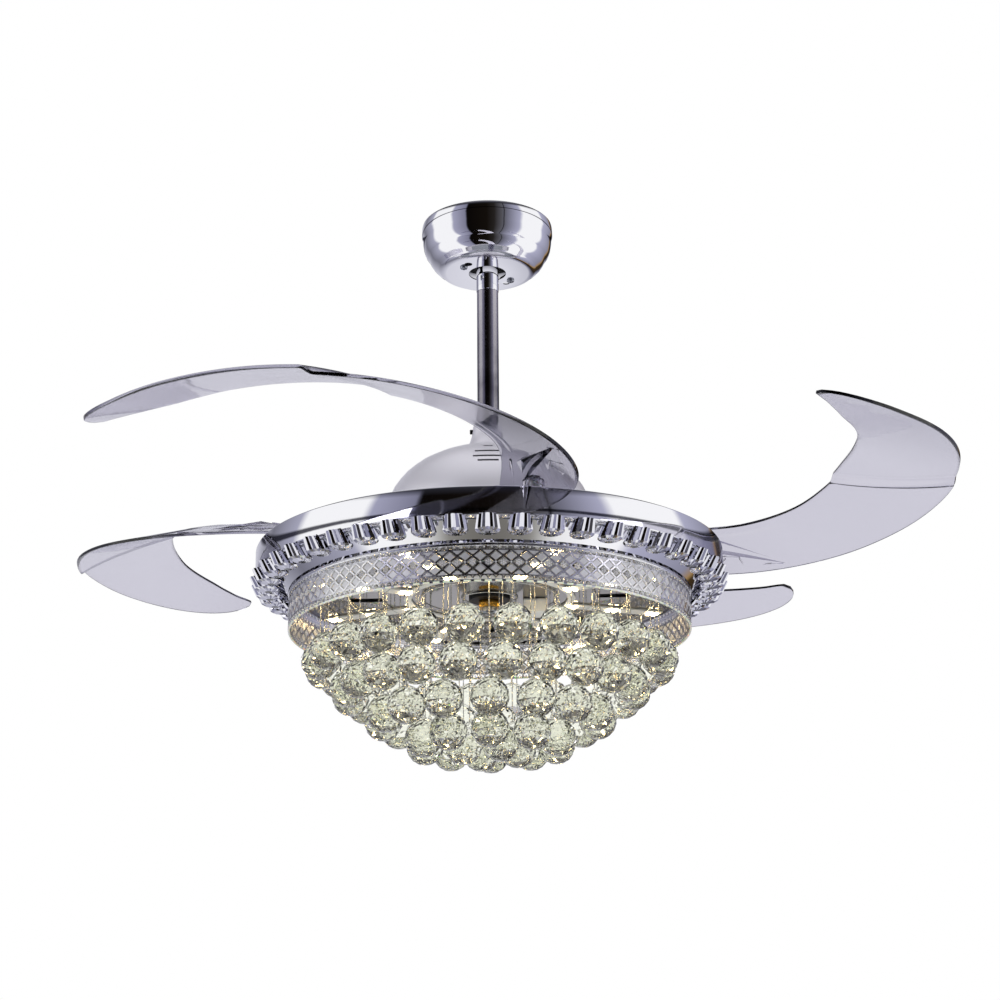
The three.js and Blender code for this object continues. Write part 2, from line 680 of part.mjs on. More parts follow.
// A curved sheet: rows of points across the blade, on its top and on its underside, closed round the edge.
function bladeSheet() {
  const across = 2;
  const stations = bladeStations();
  const positions = [];
  const point = (row, column, side) => (row * (across + 1) + column) * 2 + side;
  for (const station of stations) {
    const fromStep = Math.abs(station - bladeStepStart) / bladeLeanSpread;
    const lean = bladeLean * Math.max(0, 1 - fromStep);
    const run = (bladeStepStart - station) / (bladeStepStart - bladeStepEnd);
    const step = bladeStep * THREE.MathUtils.clamp(run, 0, 1);
    for (let column = 0; column <= across; column += 1) {
      const share = column / across;
      const angle = station + lean * (1 - share);
      const outer = bladeOuterRadius - insetAt(angle);
      const radius = outer - widthAt(angle) * (1 - share);
      const x = bladeCentreX + radius * Math.cos(angle * degree);
      const y = bladeCentreY + radius * Math.sin(angle * degree);
      const z = bladeSurface(angle, radius) + step;
      positions.push(x, y, z - bladeThickness / 2, x, y, z + bladeThickness / 2);
    }
  }
  const index = [];
  const quad = (a, b, c, d) => index.push(a, b, c, a, c, d);
  const last = stations.length - 1;
  for (let row = 0; row < last; row += 1) {
    for (let column = 0; column < across; column += 1) {
      const corners = [[row, column], [row, column + 1], [row + 1, column + 1], [row + 1, column]];
      const low = corners.map(([r, c]) => point(r, c, 0));
      const high = corners.map(([r, c]) => point(r, c, 1));
      quad(high[0], high[3], high[2], high[1]);
      quad(low[0], low[1], low[2], low[3]);
    }
    quad(point(row, 0, 0), point(row + 1, 0, 0), point(row + 1, 0, 1), point(row, 0, 1));
    const outside = [point(row, across, 0), point(row, across, 1)];
    quad(...outside, point(row + 1, across, 1), point(row + 1, across, 0));
  }
  for (let column = 0; column < across; column += 1) {
    quad(point(0, column, 0), point(0, column, 1), point(0, column + 1, 1), point(0, column + 1, 0));
    const tip = [point(last, column, 0), point(last, column + 1, 0)];
    quad(...tip, point(last, column + 1, 1), point(last, column, 1));
  }
  const geometry = new THREE.BufferGeometry();
  geometry.setAttribute('position', new THREE.Float32BufferAttribute(positions, 3));
  geometry.setIndex(index);
  return geometry;
}

const bossTop = bladeSurface(pivotAngle, pivotArm) + bladeThickness / 2 + bossRise;

function bladeGeometry() {
  const boss = upright(bossRadius, bossBottom, bossTop, shaftFacets, pivotX, pivotY);
  const hole = bore(bushRadius + gap, bossBottom - past, bossTop + past, boltFacets, pivotX, pivotY);
  return cut(join([bladeSheet(), boss]), [hole]);
}

// A flanged bush stands on the disc and carries the blade's boss.
function bushGeometry() {
  const bottom = discTop + gap;
  return turned([
    [bushBoreRadius, bottom], [bushFlangeRadius, bottom], [bushFlangeRadius, bottom + bushFlangeHeight],
    [bushRadius, bottom + bushFlangeHeight], [bushRadius, bossTop], [bushBoreRadius, bossTop],
  ], boltFacets);
}

const pivotHeadBottom = bossTop + gap;
const pivotPinBottom = discTop - discThickness - gap - pivotNutHeight - pivotPinProud;

function pivotBoltGeometry() {
  const head = upright(pivotHeadRadius, pivotHeadBottom, pivotHeadBottom + pivotHeadHeight, 6);
  return join([head, upright(pivotPinRadius, pivotPinBottom, pivotHeadBottom + past, boltFacets)]);
}

function pivotNutGeometry() {
  const top = discTop - discThickness - gap;
  const nut = upright(pivotNutRadius, top - pivotNutHeight, top, 6);
  return cut(nut, [bore(pivotPinRadius + gap, top - pivotNutHeight - past, top + past, boltFacets)]);
}

// A torsion spring round the boss pulls the blade in when the fan stops. It is out of sight: a plain sleeve.
function springGeometry() {
  const inner = (bossRadius + gap) / Math.cos(Math.PI / shaftFacets);
  const bottom = discTop + gap;
  return ring(inner, inner + springWidth, bottom, bottom + springHeight, shaftFacets);
}

const bladeShape = bladeGeometry();
for (let number = 1; number <= bladeCount; number += 1) {
  const quarter = addGroup(frame, 0, 0, 0, ((number - 1) * 2 * Math.PI) / bladeCount);
  const pivot = addGroup(quarter, pivotX, pivotY);
  addPiece(quarter, `blade_${number}`, bladeShape, acrylic);
  addPiece(pivot, `blade_bush_${number}`, bushGeometry(), nylon);
  addPiece(pivot, `pivot_bolt_${number}`, pivotBoltGeometry(), blackSteel);
  addPiece(pivot, `pivot_nut_${number}`, pivotNutGeometry(), zincSteel);
  addPiece(pivot, `return_spring_${number}`, springGeometry(), zincSteel);
}

// ---------------------------------------------------------------- lamp body
function bandGeometry() {
  const inner = bandRadius - bandWall;
  return turned([
    [inner, -bandHeight], [bandRadius - bandFootTaper, -bandHeight],
    [bandRadius, -bandHeight + bandFootHeight], [bandRadius, -bandTopChamfer],
    [bandRadius - bandTopChamfer, 0], [bandRadius - bandLip, 0], [inner, -bandWall],
  ], rimSegments);
}

function trayGeometry() {
  const bottom = trayTop - trayThickness;
  const rim = bandRadius - bandWall - gap;
  return turned([
    [shaftRadius + gap, bottom], [rim - trayThickness, bottom], [rim - trayThickness, skirtTop + gap],
    [rim, skirtTop + gap], [rim, trayTop], [shaftRadius + gap, trayTop],
  ], rimSegments);
}

// A step under the band and a cone in to the filigree, with a flange that the mirror plate rests on.
function skirtGeometry() {
  const outer = bandRadius - bandWall - gap;
  const foot = filigreeRadius + skirtFootWidth;
  const flangeTop = skirtBottom + skirtWall;
  const flangeEdge = plateRadius - skirtFlange;
  return turned([
    [flangeEdge, skirtBottom], [foot, skirtBottom], [foot, skirtBottom + skirtFootHeight],
    [skirtShoulderRadius, skirtTop - skirtWall], [outer, skirtTop - skirtWall], [outer, skirtTop],
    [skirtShoulderRadius - skirtWall, skirtTop], [foot - skirtWall, skirtBottom + skirtFootHeight],
    [foot - skirtWall, flangeTop], [flangeEdge, flangeTop],
  ], rimSegments);
}

function plateGeometry() {
  const low = plateBottom - past;
  const high = plateTop + past;
  const slots = spread(boardSpokes, (_, angle) => {
    const slot = block(plateSlotLength, plateSlotWidth, low, high, plateSlotRadius);
    return turnedRound(slot, angle + boardTurn + Math.PI / boardSpokes);
  });
  return cut(ring(shaftRadius + gap, plateRadius, plateBottom, plateTop, rimSegments), slots);
}

function standoffGeometry() {
  const bottom = plateTop + gap;
  const top = trayTop - trayThickness - gap;
  return upright(standoffRadius, bottom, top, 6);
}

// An openwork ring: a lattice of diamonds between two plain rims.
function filigreeGeometry() {
  const bottom = filigreeTop - filigreeHeight;
  const shell = ring(filigreeRadius - filigreeWall, filigreeRadius, bottom, filigreeTop, filigreeWindows);
  const fieldBottom = bottom + filigreeRimHeight;
  const fieldHeight = filigreeHeight - 2 * filigreeRimHeight;
  const pitch = (2 * Math.PI * filigreeRadius) / filigreeWindows;
  const rowHeight = (2 * fieldHeight) / (filigreeRows + 1);
  const halfBar = filigreeBarWidth * Math.SQRT1_2; // measured along a diamond's diagonal
  const halfWidth = pitch / 2 - halfBar;
  const halfHeight = rowHeight / 2 - halfBar;
  const reach = 3 * filigreeWall;
  const tools = [];
  for (let row = 0; row < filigreeRows; row += 1) {
    const level = fieldBottom + (rowHeight * (row + 1)) / 2;
    spread(filigreeWindows, (index, angle) => {
      const shape = new THREE.Shape();
      shape.moveTo(-halfWidth, 0);
      shape.lineTo(0, -halfHeight);
      shape.lineTo(halfWidth, 0);
      shape.lineTo(0, halfHeight);
      shape.closePath();
      const tool = new THREE.ExtrudeGeometry(shape, { depth: 2 * reach, bevelEnabled: false });
      tool.rotateX(Math.PI / 2);
      tool.translate(0, -filigreeRadius + reach, level);
      tools.push(turnedRound(tool, angle + ((row + 1) % 2) * (Math.PI / filigreeWindows)));
    });
  }
  return cut(shell, tools);
}

// Faceted drums threaded on one ring wire near their tops, leaning out under the band.
function rimCrystalGeometry() {
  const lean = Math.tan(drumLean);
  const wireHeight = drumHeight / 2 - 2 * drumWireRadius;
  const wire = new THREE.TorusGeometry(drumPitchRadius + wireHeight * lean, drumWireRadius, 3, drumCount);
  wire.translate(0, 0, drumLevel + wireHeight);
  const drums = spread(drumCount, (_, angle) => {
    const drum = new THREE.CylinderGeometry(drumTopRadius, drumRadius, drumHeight, drumSides);
    drum.rotateX(Math.PI / 2);
    drum.applyMatrix4(new THREE.Matrix4().makeShear(0, 0, 0, 0, lean, 0));
    drum.translate(drumPitchRadius, 0, drumLevel);
    return turnedRound(drum, angle);
  });
  return join([wire, ...drums]);
}

addPiece(frame, 'lamp_tray', trayGeometry(), satinGrey);
addPiece(frame, 'chrome_band', bandGeometry(), chrome);
addPiece(frame, 'lamp_skirt', skirtGeometry(), chrome);
addPiece(frame, 'mirror_plate', plateGeometry(), chrome);
addPiece(frame, 'filigree_ring', filigreeGeometry(), chrome);
addPiece(frame, 'rim_crystals', rimCrystalGeometry(), crystal);
spread(standoffCount, (index, angle) => {
  const x = standoffPitchRadius * Math.cos(angle);
  const y = standoffPitchRadius * Math.sin(angle);
  addPiece(addGroup(frame, x, y), `standoff_${index + 1}`, standoffGeometry(), brass);
});

// ---------------------------------------------------------------- lamp parts below the mirror plate
const boardTop = plateBottom - gap;

function boardGeometry() {
  const bottom = boardTop - boardThickness;
  const spokeLength = boardRadius - boardHubRadius;
  const spokes = spread(boardSpokes, (_, angle) => {
    const spoke = block(spokeLength, boardSpokeWidth, bottom, boardTop, boardHubRadius + spokeLength / 2);
    return turnedRound(spoke, angle + boardTurn);
  });
  const hub = ring(boardHubRadius, boardHubRadius + boardHubWidth, bottom, boardTop, boardFacets);
  return join([hub, ...spokes]);
}

const washerBottom = boardTop - washerHeight;

function nutGeometry() {
  const top = washerBottom - gap;
  const nut = upright(nutRadius, top - nutHeight, top, 6);
  return cut(nut, [bore(shaftRadius + gap, top - nutHeight - past, top + past, shaftFacets)]);
}

// A tier is a wire ring with pegs up to the mirror plate, and a faceted ball on each wire that drops from it.
function tierGeometry({ radius, level, count, turn }) {
  const ringLevel = plateBottom - hangerRingDrop;
  const ringFacets = count * Math.ceil(hangerRingFacets / count);
  const ringWire = new THREE.TorusGeometry(radius, hangerWireRadius, 3, ringFacets);
  ringWire.rotateZ(turn);
  ringWire.translate(0, 0, ringLevel);
  const pegs = spread(pegCount, (_, angle) => {
    const wanted = angle + boardTurn + Math.PI / boardSpokes - turn;
    const place = Math.round((wanted * count) / (2 * Math.PI));
    const peg = upright(hangerWireRadius, ringLevel, boardTop, 3, radius);
    return turnedRound(peg, (place * 2 * Math.PI) / count + turn);
  });
  const profile = [[0, level - crystalRadius]];
  for (let row = 1; row <= crystalRows; row += 1) {
    const angle = -Math.PI / 2 + (row * Math.PI) / (crystalRows + 1);
    profile.push([crystalRadius * Math.cos(angle), level + crystalRadius * Math.sin(angle)]);
  }
  profile.push([hangerWireRadius, level + crystalRadius], [0, ringLevel]);
  const drops = spread(count, (_, angle) => {
    const points = profile.map(([r, z]) => new THREE.Vector2(r, z));
    const drop = new THREE.LatheGeometry(points, crystalSides);
    drop.rotateX(Math.PI / 2);
    drop.translate(radius, 0, 0);
    return turnedRound(drop, angle + turn);
  });
  return join([ringWire, ...pegs, ...drops]);
}

addPiece(frame, 'led_board', boardGeometry(), whitePlastic);
const washerShape = ring(shaftRadius + gap, washerRadius, washerBottom, boardTop, rodFacets);
addPiece(frame, 'centre_washer', washerShape, blackPlastic);
addPiece(frame, 'centre_nut', nutGeometry(), brass);
const driverBottom = boardTop - driverHeight;
const driverShape = block(driverWidth, driverLength, driverBottom, boardTop, driverX, driverY);
addPiece(frame, 'led_driver', driverShape, whitePlastic);
tiers.forEach((tier, index) => addPiece(frame, `crystal_tier_${index + 1}`, tierGeometry(tier), crystal));

export default fan;
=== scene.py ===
"""The looks of a retractable-blade ceiling fan over a crystal lamp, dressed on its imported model."""

import math

import bmesh
import bpy
from mathutils import Matrix, Vector


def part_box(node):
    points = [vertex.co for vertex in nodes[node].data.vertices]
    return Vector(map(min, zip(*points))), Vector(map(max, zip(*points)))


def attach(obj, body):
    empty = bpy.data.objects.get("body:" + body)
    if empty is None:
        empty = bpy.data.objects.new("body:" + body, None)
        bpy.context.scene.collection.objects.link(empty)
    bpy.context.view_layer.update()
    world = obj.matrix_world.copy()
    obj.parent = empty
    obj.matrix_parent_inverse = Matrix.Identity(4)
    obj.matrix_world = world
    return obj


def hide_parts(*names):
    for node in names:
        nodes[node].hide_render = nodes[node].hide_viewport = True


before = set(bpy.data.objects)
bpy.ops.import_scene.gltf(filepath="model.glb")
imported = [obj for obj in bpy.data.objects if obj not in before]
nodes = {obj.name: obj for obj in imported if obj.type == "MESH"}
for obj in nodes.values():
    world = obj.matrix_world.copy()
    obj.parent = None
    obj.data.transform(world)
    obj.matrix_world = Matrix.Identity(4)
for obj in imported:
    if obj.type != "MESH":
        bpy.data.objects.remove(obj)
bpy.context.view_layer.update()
MM = 0.001

# ---------------------------------------- camera and studio
# The camera stands low in front of the lamp, two metres away, and looks up through a long lens. The
# studio is a white room with a dark card behind the camera and a soft box on each side, which polished
# metal mirrors.
CAMERA_PLACE = (0.012, -2.071, -0.994)
CAMERA_PITCH = 17.91
CAMERA_ROLL = -0.5
CAMERA_LENS = 72
SENSOR_WIDTH = 36


def linear(code):
    """A hex colour, which is sRGB, as linear red, green, blue and alpha."""
    parts = [int(code[place:place + 2], 16) / 255 for place in (1, 3, 5)]
    return [*(c / 12.92 if c <= 0.04045 else ((c + 0.055) / 1.055) ** 2.4 for c in parts), 1.0]


def add(tree, kind, settings=None, links=None, stops=()):
    """Adds a shader node with its settings, by property or by input, its links and a ramp's stops."""
    made = tree.nodes.new("ShaderNode" + kind)
    for name, value in (settings or {}).items():
        if isinstance(name, str) and hasattr(made, name):
            setattr(made, name, value)
        else:
            made.inputs[name].default_value = value
    for name, source in (links or {}).items():
        tree.links.new(made.inputs[name], source)
    for place, code in stops[2:]:
        made.color_ramp.elements.new(place)
    for element, (place, code) in zip(made.color_ramp.elements if stops else (), stops):
        element.position = place
        element.color = linear(code)
    return made


bpy.ops.object.camera_add(location=CAMERA_PLACE, rotation=(math.radians(90 + CAMERA_PITCH), 0, 0))
camera = bpy.context.object
camera.rotation_euler.rotate_axis("Z", math.radians(CAMERA_ROLL))
camera.data.lens = CAMERA_LENS
camera.data.sensor_width = SENSOR_WIDTH
bpy.context.scene.camera = camera
bpy.context.scene.view_settings.view_transform = "Standard"

# The walls' colours, going round the room from straight behind the fan, by the left, the camera side and
# the right.
WALLS = [
    (0.000, "#E2E2EA"), (0.060, "#BCBCC8"), (0.120, "#787884"), (0.195, "#AAAABC"), (0.212, "#FFFFFF"),
    (0.322, "#FFFFFF"), (0.335, "#A6A6BC"), (0.398, "#808094"), (0.404, "#0A0807"), (0.500, "#14100C"),
    (0.536, "#262321"), (0.570, "#545358"), (0.579, "#5C5C64"), (0.581, "#0C0B10"), (0.5835, "#0C0B10"),
    (0.585, "#5E5E66"), (0.596, "#6E6E7C"), (0.662, "#AEAEC4"), (0.680, "#FFFFFF"), (0.800, "#FFFFFF"),
    (0.815, "#B2B2C8"), (0.895, "#8C8C9E"), (0.912, "#A08050"), (0.917, "#43331F"), (0.940, "#2C241B"),
    (0.958, "#7C7C8E"), (1.000, "#E2E2EA"),
]
# A grey strip runs round the walls above eye level. Its colours multiply the walls', from its foot to its
# head.
STRIP = [
    (0.0, "#FFFFFF"), (0.2, "#FFFFFF"), (0.3, "#55555C"), (0.5, "#55555C"), (0.62, "#FFFFFF"),
    (1.0, "#FFFFFF"),
]
STRIP_LOW, STRIP_HIGH = 0.305, 0.445
# The ceiling and the ground cover the walls. Each fades in from its first slope to its second and ends at
# its third, where a slope is the height of a direction one metre long.
CEILING_SLOPES, CEILING = (0.58, 0.66, 0.98), [(0.0, "#26262C"), (0.35, "#77777F"), (1.0, "#F2F2F6")]
GROUND_SLOPES, GROUND = (-0.86, -0.93, -1.0), [(0.0, "#F2F2F0"), (0.5, "#8C8A84"), (1.0, "#54504A")]
CLEAR_SURFACES = 2.5  # a blade has two, and the white backdrop shows through it
DEEP_GLASS_SHARE = 0.74  # how much of the white backdrop shows through more glass than that
UNMIRRORED = 0.5  # fewer mirrorings than this are none
world = bpy.data.worlds.new("studio")
bpy.context.scene.world = world
world.use_nodes = True
tree = world.node_tree
tree.nodes.clear()
way = add(tree, "SeparateXYZ", links={0: add(tree, "TexCoord").outputs["Generated"]})
toward = add(tree, "Math", {"operation": "MULTIPLY", 1: -1}, {0: way.outputs["Y"]})
turn = add(tree, "Math", {"operation": "ARCTAN2"}, {0: way.outputs["X"], 1: toward.outputs[0]})
share = add(tree, "MapRange", {"From Min": -math.pi, "From Max": math.pi}, {"Value": turn.outputs[0]})
walls = add(tree, "ValToRGB", links={0: share.outputs[0]}, stops=WALLS)
height = add(tree, "MapRange", {"From Min": STRIP_LOW, "From Max": STRIP_HIGH}, {"Value": way.outputs["Z"]})
strip = add(tree, "ValToRGB", links={0: height.outputs[0]}, stops=STRIP)
seen = add(tree, "Mix", {"data_type": "RGBA", "blend_type": "MULTIPLY", 0: 1.0},
           {6: walls.outputs[0], 7: strip.outputs[0]}).outputs[2]
for (start, full, end), colours in ((CEILING_SLOPES, CEILING), (GROUND_SLOPES, GROUND)):
    steep = add(tree, "MapRange", {"From Min": full, "From Max": end}, {"Value": way.outputs["Z"]})
    cover = add(tree, "ValToRGB", links={0: steep.outputs[0]}, stops=colours)
    edge = add(tree, "MapRange", {"From Min": start, "From Max": full}, {"Value": way.outputs["Z"]})
    seen = add(tree, "Mix", {"data_type": "RGBA"},
               {0: edge.outputs[0], 6: seen, 7: cover.outputs[0]}).outputs[2]
# The camera sees plain white instead of the room, also through a blade, and most of it through deeper
# glass.
path = add(tree, "LightPath")
shallow = add(tree, "Math", {"operation": "LESS_THAN", 1: CLEAR_SURFACES},
              {0: path.outputs["Transmission Depth"]})
straight = add(tree, "Math", {"operation": "LESS_THAN", 1: UNMIRRORED}, {0: path.outputs["Glossy Depth"]})
through = add(tree, "Math", {"operation": "MULTIPLY"},
              {0: path.outputs["Is Transmission Ray"], 1: shallow.outputs[0]})
through = add(tree, "Math", {"operation": "MULTIPLY"}, {0: through.outputs[0], 1: straight.outputs[0]})
deep = add(tree, "Math", {"operation": "GREATER_THAN", 1: CLEAR_SURFACES},
           {0: path.outputs["Transmission Depth"]})
pale = add(tree, "Math", {"operation": "MULTIPLY", 1: DEEP_GLASS_SHARE}, {0: deep.outputs[0]})
pale = add(tree, "Math", {"operation": "MULTIPLY"},
           {0: pale.outputs[0], 1: path.outputs["Is Transmission Ray"]})
through = add(tree, "Math", {"operation": "MAXIMUM"}, {0: through.outputs[0], 1: pale.outputs[0]})
clear = add(tree, "Math", {"operation": "MAXIMUM"}, {0: path.outputs["Is Camera Ray"], 1: through.outputs[0]})
shown = add(tree, "Mix", {"data_type": "RGBA", 7: linear("#FFFFFF")}, {0: clear.outputs[0], 6: seen})
# Dull surfaces are lit by an even pale grey, whatever the walls are.
lit = add(tree, "Mix", {"data_type": "RGBA", 7: linear("#C6C6CC")},
          {0: path.outputs["Is Diffuse Ray"], 6: shown.outputs[2]})
back = add(tree, "Background", {"Strength": 1.0}, {"Color": lit.outputs[2]})
add(tree, "OutputWorld", links={"Surface": back.outputs[0]})

# Three broad lamps at a plain level. Polished metal mirrors the room and not the lamps.
for name, place, aim, size, watts in (
    ("key_light", (-2.2, -1.8, 1.2), (0, 0, -0.45), 1.6, 26),
    ("fill_light", (2.4, -1.4, 0.4), (0, 0, -0.45), 1.6, 18),
    ("low_light", (0.2, -1.6, -2.0), (0, 0, -0.5), 1.8, 12),
):
    bpy.ops.object.light_add(type="AREA", location=place)
    lamp = bpy.context.object
    lamp.name = name
    lamp.data.size = size
    lamp.data.energy = watts
    lamp.visible_glossy = False
    lamp.rotation_euler = (Vector(aim) - Vector(place)).to_track_quat("-Z", "Y").to_euler()


def new_finish(name, settings):
    """A new material with one Principled shader. Returns the material, its node tree and the shader."""
    made = bpy.data.materials.new(name)
    made.use_nodes = True
    made.node_tree.nodes.clear()
    shader = add(made.node_tree, "BsdfPrincipled", settings)
    add(made.node_tree, "OutputMaterial", links={"Surface": shader.outputs[0]})
    return made, made.node_tree, shader


# The floor is well below the fan, so that no view of it from below is hidden. Its paint is rolled on,
# which leaves it matt with a faint orange peel. It glows a little to the camera, so that it is nearly as
# white as the backdrop there.
FLOOR_LEVEL = -3.2
FLOOR_SIZE = 30
FLOOR_GLOW = 0.32
PEEL = 25  # drawn this coarse so that it shows
bpy.ops.mesh.primitive_plane_add(size=FLOOR_SIZE, location=(0, 0, FLOOR_LEVEL))
floor = bpy.context.object
floor.name = "floor"
floor.visible_glossy = False
floor.visible_transmission = False
paint, tree, shader = new_finish("pale_floor_paint", {
    "Roughness": 0.8, "Base Color": linear("#F3F3F4"), "Emission Color": linear("#FFFFFF")})
peel = add(tree, "TexNoise", {"Scale": 1 / (PEEL * MM), "Detail": 4.0},
           {0: add(tree, "TexCoord").outputs["Object"]})
bump = add(tree, "Bump", {"Strength": 0.05, "Distance": 0.002}, {"Height": peel.outputs["Fac"]})
tree.links.new(shader.inputs["Normal"], bump.outputs[0])
glow = add(tree, "Math", {"operation": "MULTIPLY", 1: FLOOR_GLOW},
           {0: add(tree, "LightPath").outputs["Is Camera Ray"]})
tree.links.new(shader.inputs["Emission Strength"], glow.outputs[0])
floor.data.materials.append(paint)

# ---------------------------------------- steel bracket in the ceiling
# A pressed steel plate that is screwed to the ceiling box, with a cup that the ball sits in. It is zinc
# plated, and its near-black colour is painted shade for the shade inside the canopy. It is seen only through
# the canopy's slots and round the ball.
SPANGLE = 6  # real zinc clouds are finer, and are drawn this coarse so that they show
NOISE_LOW, NOISE_HIGH = 0.3, 0.7  # nearly all of a soft noise lies between these


def dress(piece, *finishes):
    """Gives a piece its materials, in place of any that it had."""
    piece.data.materials.clear()
    for made in finishes:
        piece.data.materials.append(made)


def mottled_finish(name, settings, cloud, dull, bright, relief=0.0):
    """A material whose roughness wavers from bright to dull in soft clouds of this many millimetres, and
    whose surface rises by the relief, in millimetres too. Moulded and sprayed grains are finer than a
    millimetre on the real fan, and are drawn coarser so that they show."""
    made, tree, shader = new_finish(name, settings)
    place = add(tree, "TexCoord").outputs["Object"]
    clouds = add(tree, "TexNoise", {"Scale": 1 / (cloud * MM), "Detail": 3.0}, {0: place})
    spread = {"From Min": NOISE_LOW, "From Max": NOISE_HIGH, "To Min": bright, "To Max": dull}
    rough = add(tree, "MapRange", spread, {"Value": clouds.outputs["Fac"]})
    tree.links.new(shader.inputs["Roughness"], rough.outputs[0])
    if relief:
        raised = add(tree, "Bump", {"Strength": 1.0, "Distance": relief * MM},
                     {"Height": clouds.outputs["Fac"]})
        tree.links.new(shader.inputs["Normal"], raised.outputs[0])
    return made


# Painted shade: the zinc is drawn dull and nearly black for the shade inside the canopy, so that the slots
# look dark.
shade_blackened_zinc = mottled_finish("zinc_blackened_as_painted_shade", {"Metallic": 0.4, "Base Color": linear("#141416")},
                            cloud=SPANGLE, dull=0.75, bright=0.6, relief=0.01)
dress(nodes["ceiling_bracket"], shade_blackened_zinc)

# ---------------------------------------- canopy and its screws
# A cup of spun sheet steel, chrome plated and polished, with two rolled creases and a rounded lip. Two
# keyhole slots in its flat bottom hook on the heads of two pan-head machine screws, whose shanks go up
# into the bracket.
CANOPY = [
    (21, -56), (46, -56), (48.5, -55.6), (52.5, -54), (54.6, -51.9), (55.2, -51.2), (58.8, -48.6), (62, -45),
    (64.4, -41), (65.6, -37.6), (66.4, -36.8), (69.2, -33), (71.2, -28), (72.5, -21), (72.9, -14.5),
    (73.4, -13.4), (74, -11), (73.8, -3), (73.2, -0.6), (72, 0), (71, -3), (71.2, -20), (67, -33), (60, -45),
    (50, -53.6), (46, -54.8), (21, -54.8),
]
KEYHOLE_RADIUS = 32
KEYHOLE_TURN = 35
KEYHOLE_LENGTH = 9
KEYHOLE_NARROW, KEYHOLE_WIDE = 2.3, 4.5
KEYHOLE_LOW, KEYHOLE_HIGH = -58, -53
RING_STEPS = 128
SCREW = [(0, -58.7), (2.6, -58.6), (3.7, -58), (4.2, -56.9), (4.2, -56.3), (2, -56.3), (2, -48.4), (0, -48.2)]
RECESS_LENGTH, RECESS_WIDTH = 5, 0.9
RECESS_LOW, RECESS_HIGH = -59.5, -57.4
RECESS_OFFSET = 0.02  # keeps the two arms of the cross from lying flush


def only(*chosen):
    """Selects these objects and nothing else, and makes the first one active."""
    bpy.ops.object.select_all(action="DESELECT")
    for item in chosen:
        item.select_set(True)
    bpy.context.view_layer.objects.active = chosen[0]


def spun(name, profile, steps=RING_STEPS, crease=30):
    """A closed profile of radius and height in millimetres, spun round the fan's axis."""
    bpy.ops.mesh.primitive_circle_add(vertices=len(profile))
    piece = bpy.context.object
    piece.name = name
    for vertex, (radius, height) in zip(piece.data.vertices, profile):
        vertex.co = (radius * MM, 0, height * MM)
    only(piece)
    bpy.ops.object.mode_set(mode="EDIT")
    bpy.ops.mesh.select_all(action="SELECT")
    bpy.ops.mesh.spin(steps=steps, angle=2 * math.pi, center=(0, 0, 0), axis=(0, 0, 1))
    bpy.ops.mesh.select_all(action="SELECT")
    bpy.ops.mesh.remove_doubles(threshold=0.002 * MM)
    bpy.ops.mesh.normals_make_consistent(inside=False)
    bpy.ops.object.mode_set(mode="OBJECT")
    bpy.ops.object.shade_smooth_by_angle(angle=math.radians(crease))
    return piece


def apply(piece, kind, **settings):
    """Adds a modifier to a piece and applies it."""
    only(piece)
    step = piece.modifiers.new(kind.lower(), kind)
    for name, value in settings.items():
        setattr(step, name, value)
    bpy.ops.object.modifier_apply(modifier=step.name)


def placed(piece, turn=(0, 0, 0), place=(0, 0, 0)):
    """Turns a piece by degrees, moves it by millimetres, and writes its place into its mesh."""
    only(piece)
    bpy.ops.object.transform_apply(location=True, rotation=True, scale=True)
    matrix = Matrix.Translation(Vector(place) * MM)
    for axis, angle in zip("XYZ", turn):
        matrix = matrix @ Matrix.Rotation(math.radians(angle), 4, axis)
    piece.data.transform(matrix)
    return piece


def joined(name, pieces):
    """Joins pieces into one object, under this name."""
    only(*pieces)
    bpy.ops.object.join()
    whole = bpy.context.object
    whole.name = name
    whole.data.name = name
    return whole


def cut_out(piece, cutters):
    """Cuts the cutters out of a piece with a boolean, and deletes them."""
    tool = joined("cutter", cutters)
    apply(piece, "BOOLEAN", operation="DIFFERENCE", solver="EXACT", use_self=True, object=tool)
    bpy.data.objects.remove(tool)


def peg(radius, low, high, x=0, y=0, sides=32):
    """An upright round bar between two heights, in millimetres."""
    bpy.ops.mesh.primitive_cylinder_add(vertices=sides, radius=radius * MM, depth=(high - low) * MM)
    return placed(bpy.context.object, place=(x, y, (high + low) / 2))


def slab(width, depth, low, high, x=0, y=0):
    """An upright box between two heights, in millimetres."""
    bpy.ops.mesh.primitive_cube_add(size=1)
    piece = bpy.context.object
    piece.scale = (width * MM, depth * MM, (high - low) * MM)
    return placed(piece, place=(x, y, (high + low) / 2))


def stands_for(piece, node, body="hanging_frame", finish=None):
    """This piece takes the place of a construction node, in its finish, and moves with its body."""
    if finish:
        dress(piece, finish)
    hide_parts(node)
    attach(piece, body)
    return piece


# Chrome on a buffed steel sheet mirrors sharply, and the sheet's slow waves bend what it mirrors.
chrome = mottled_finish("polished_chrome_plate", {"Metallic": 1.0, "Base Color": linear("#F3F3F7")},
                        cloud=45, dull=0.06, bright=0.02, relief=0.05)
canopy = spun("canopy_cup", CANOPY)
cutters = []
for side in (-1, 1):
    x = side * KEYHOLE_RADIUS
    for item in (
        peg(KEYHOLE_NARROW, KEYHOLE_LOW, KEYHOLE_HIGH, x),
        peg(KEYHOLE_WIDE, KEYHOLE_LOW, KEYHOLE_HIGH, x, side * KEYHOLE_LENGTH),
        slab(2 * KEYHOLE_NARROW, KEYHOLE_LENGTH, KEYHOLE_LOW, KEYHOLE_HIGH, x, side * KEYHOLE_LENGTH / 2),
    ):
        cutters.append(placed(item, turn=(0, 0, KEYHOLE_TURN)))
cut_out(canopy, cutters)
stands_for(canopy, "canopy", "ceiling_mount", chrome)

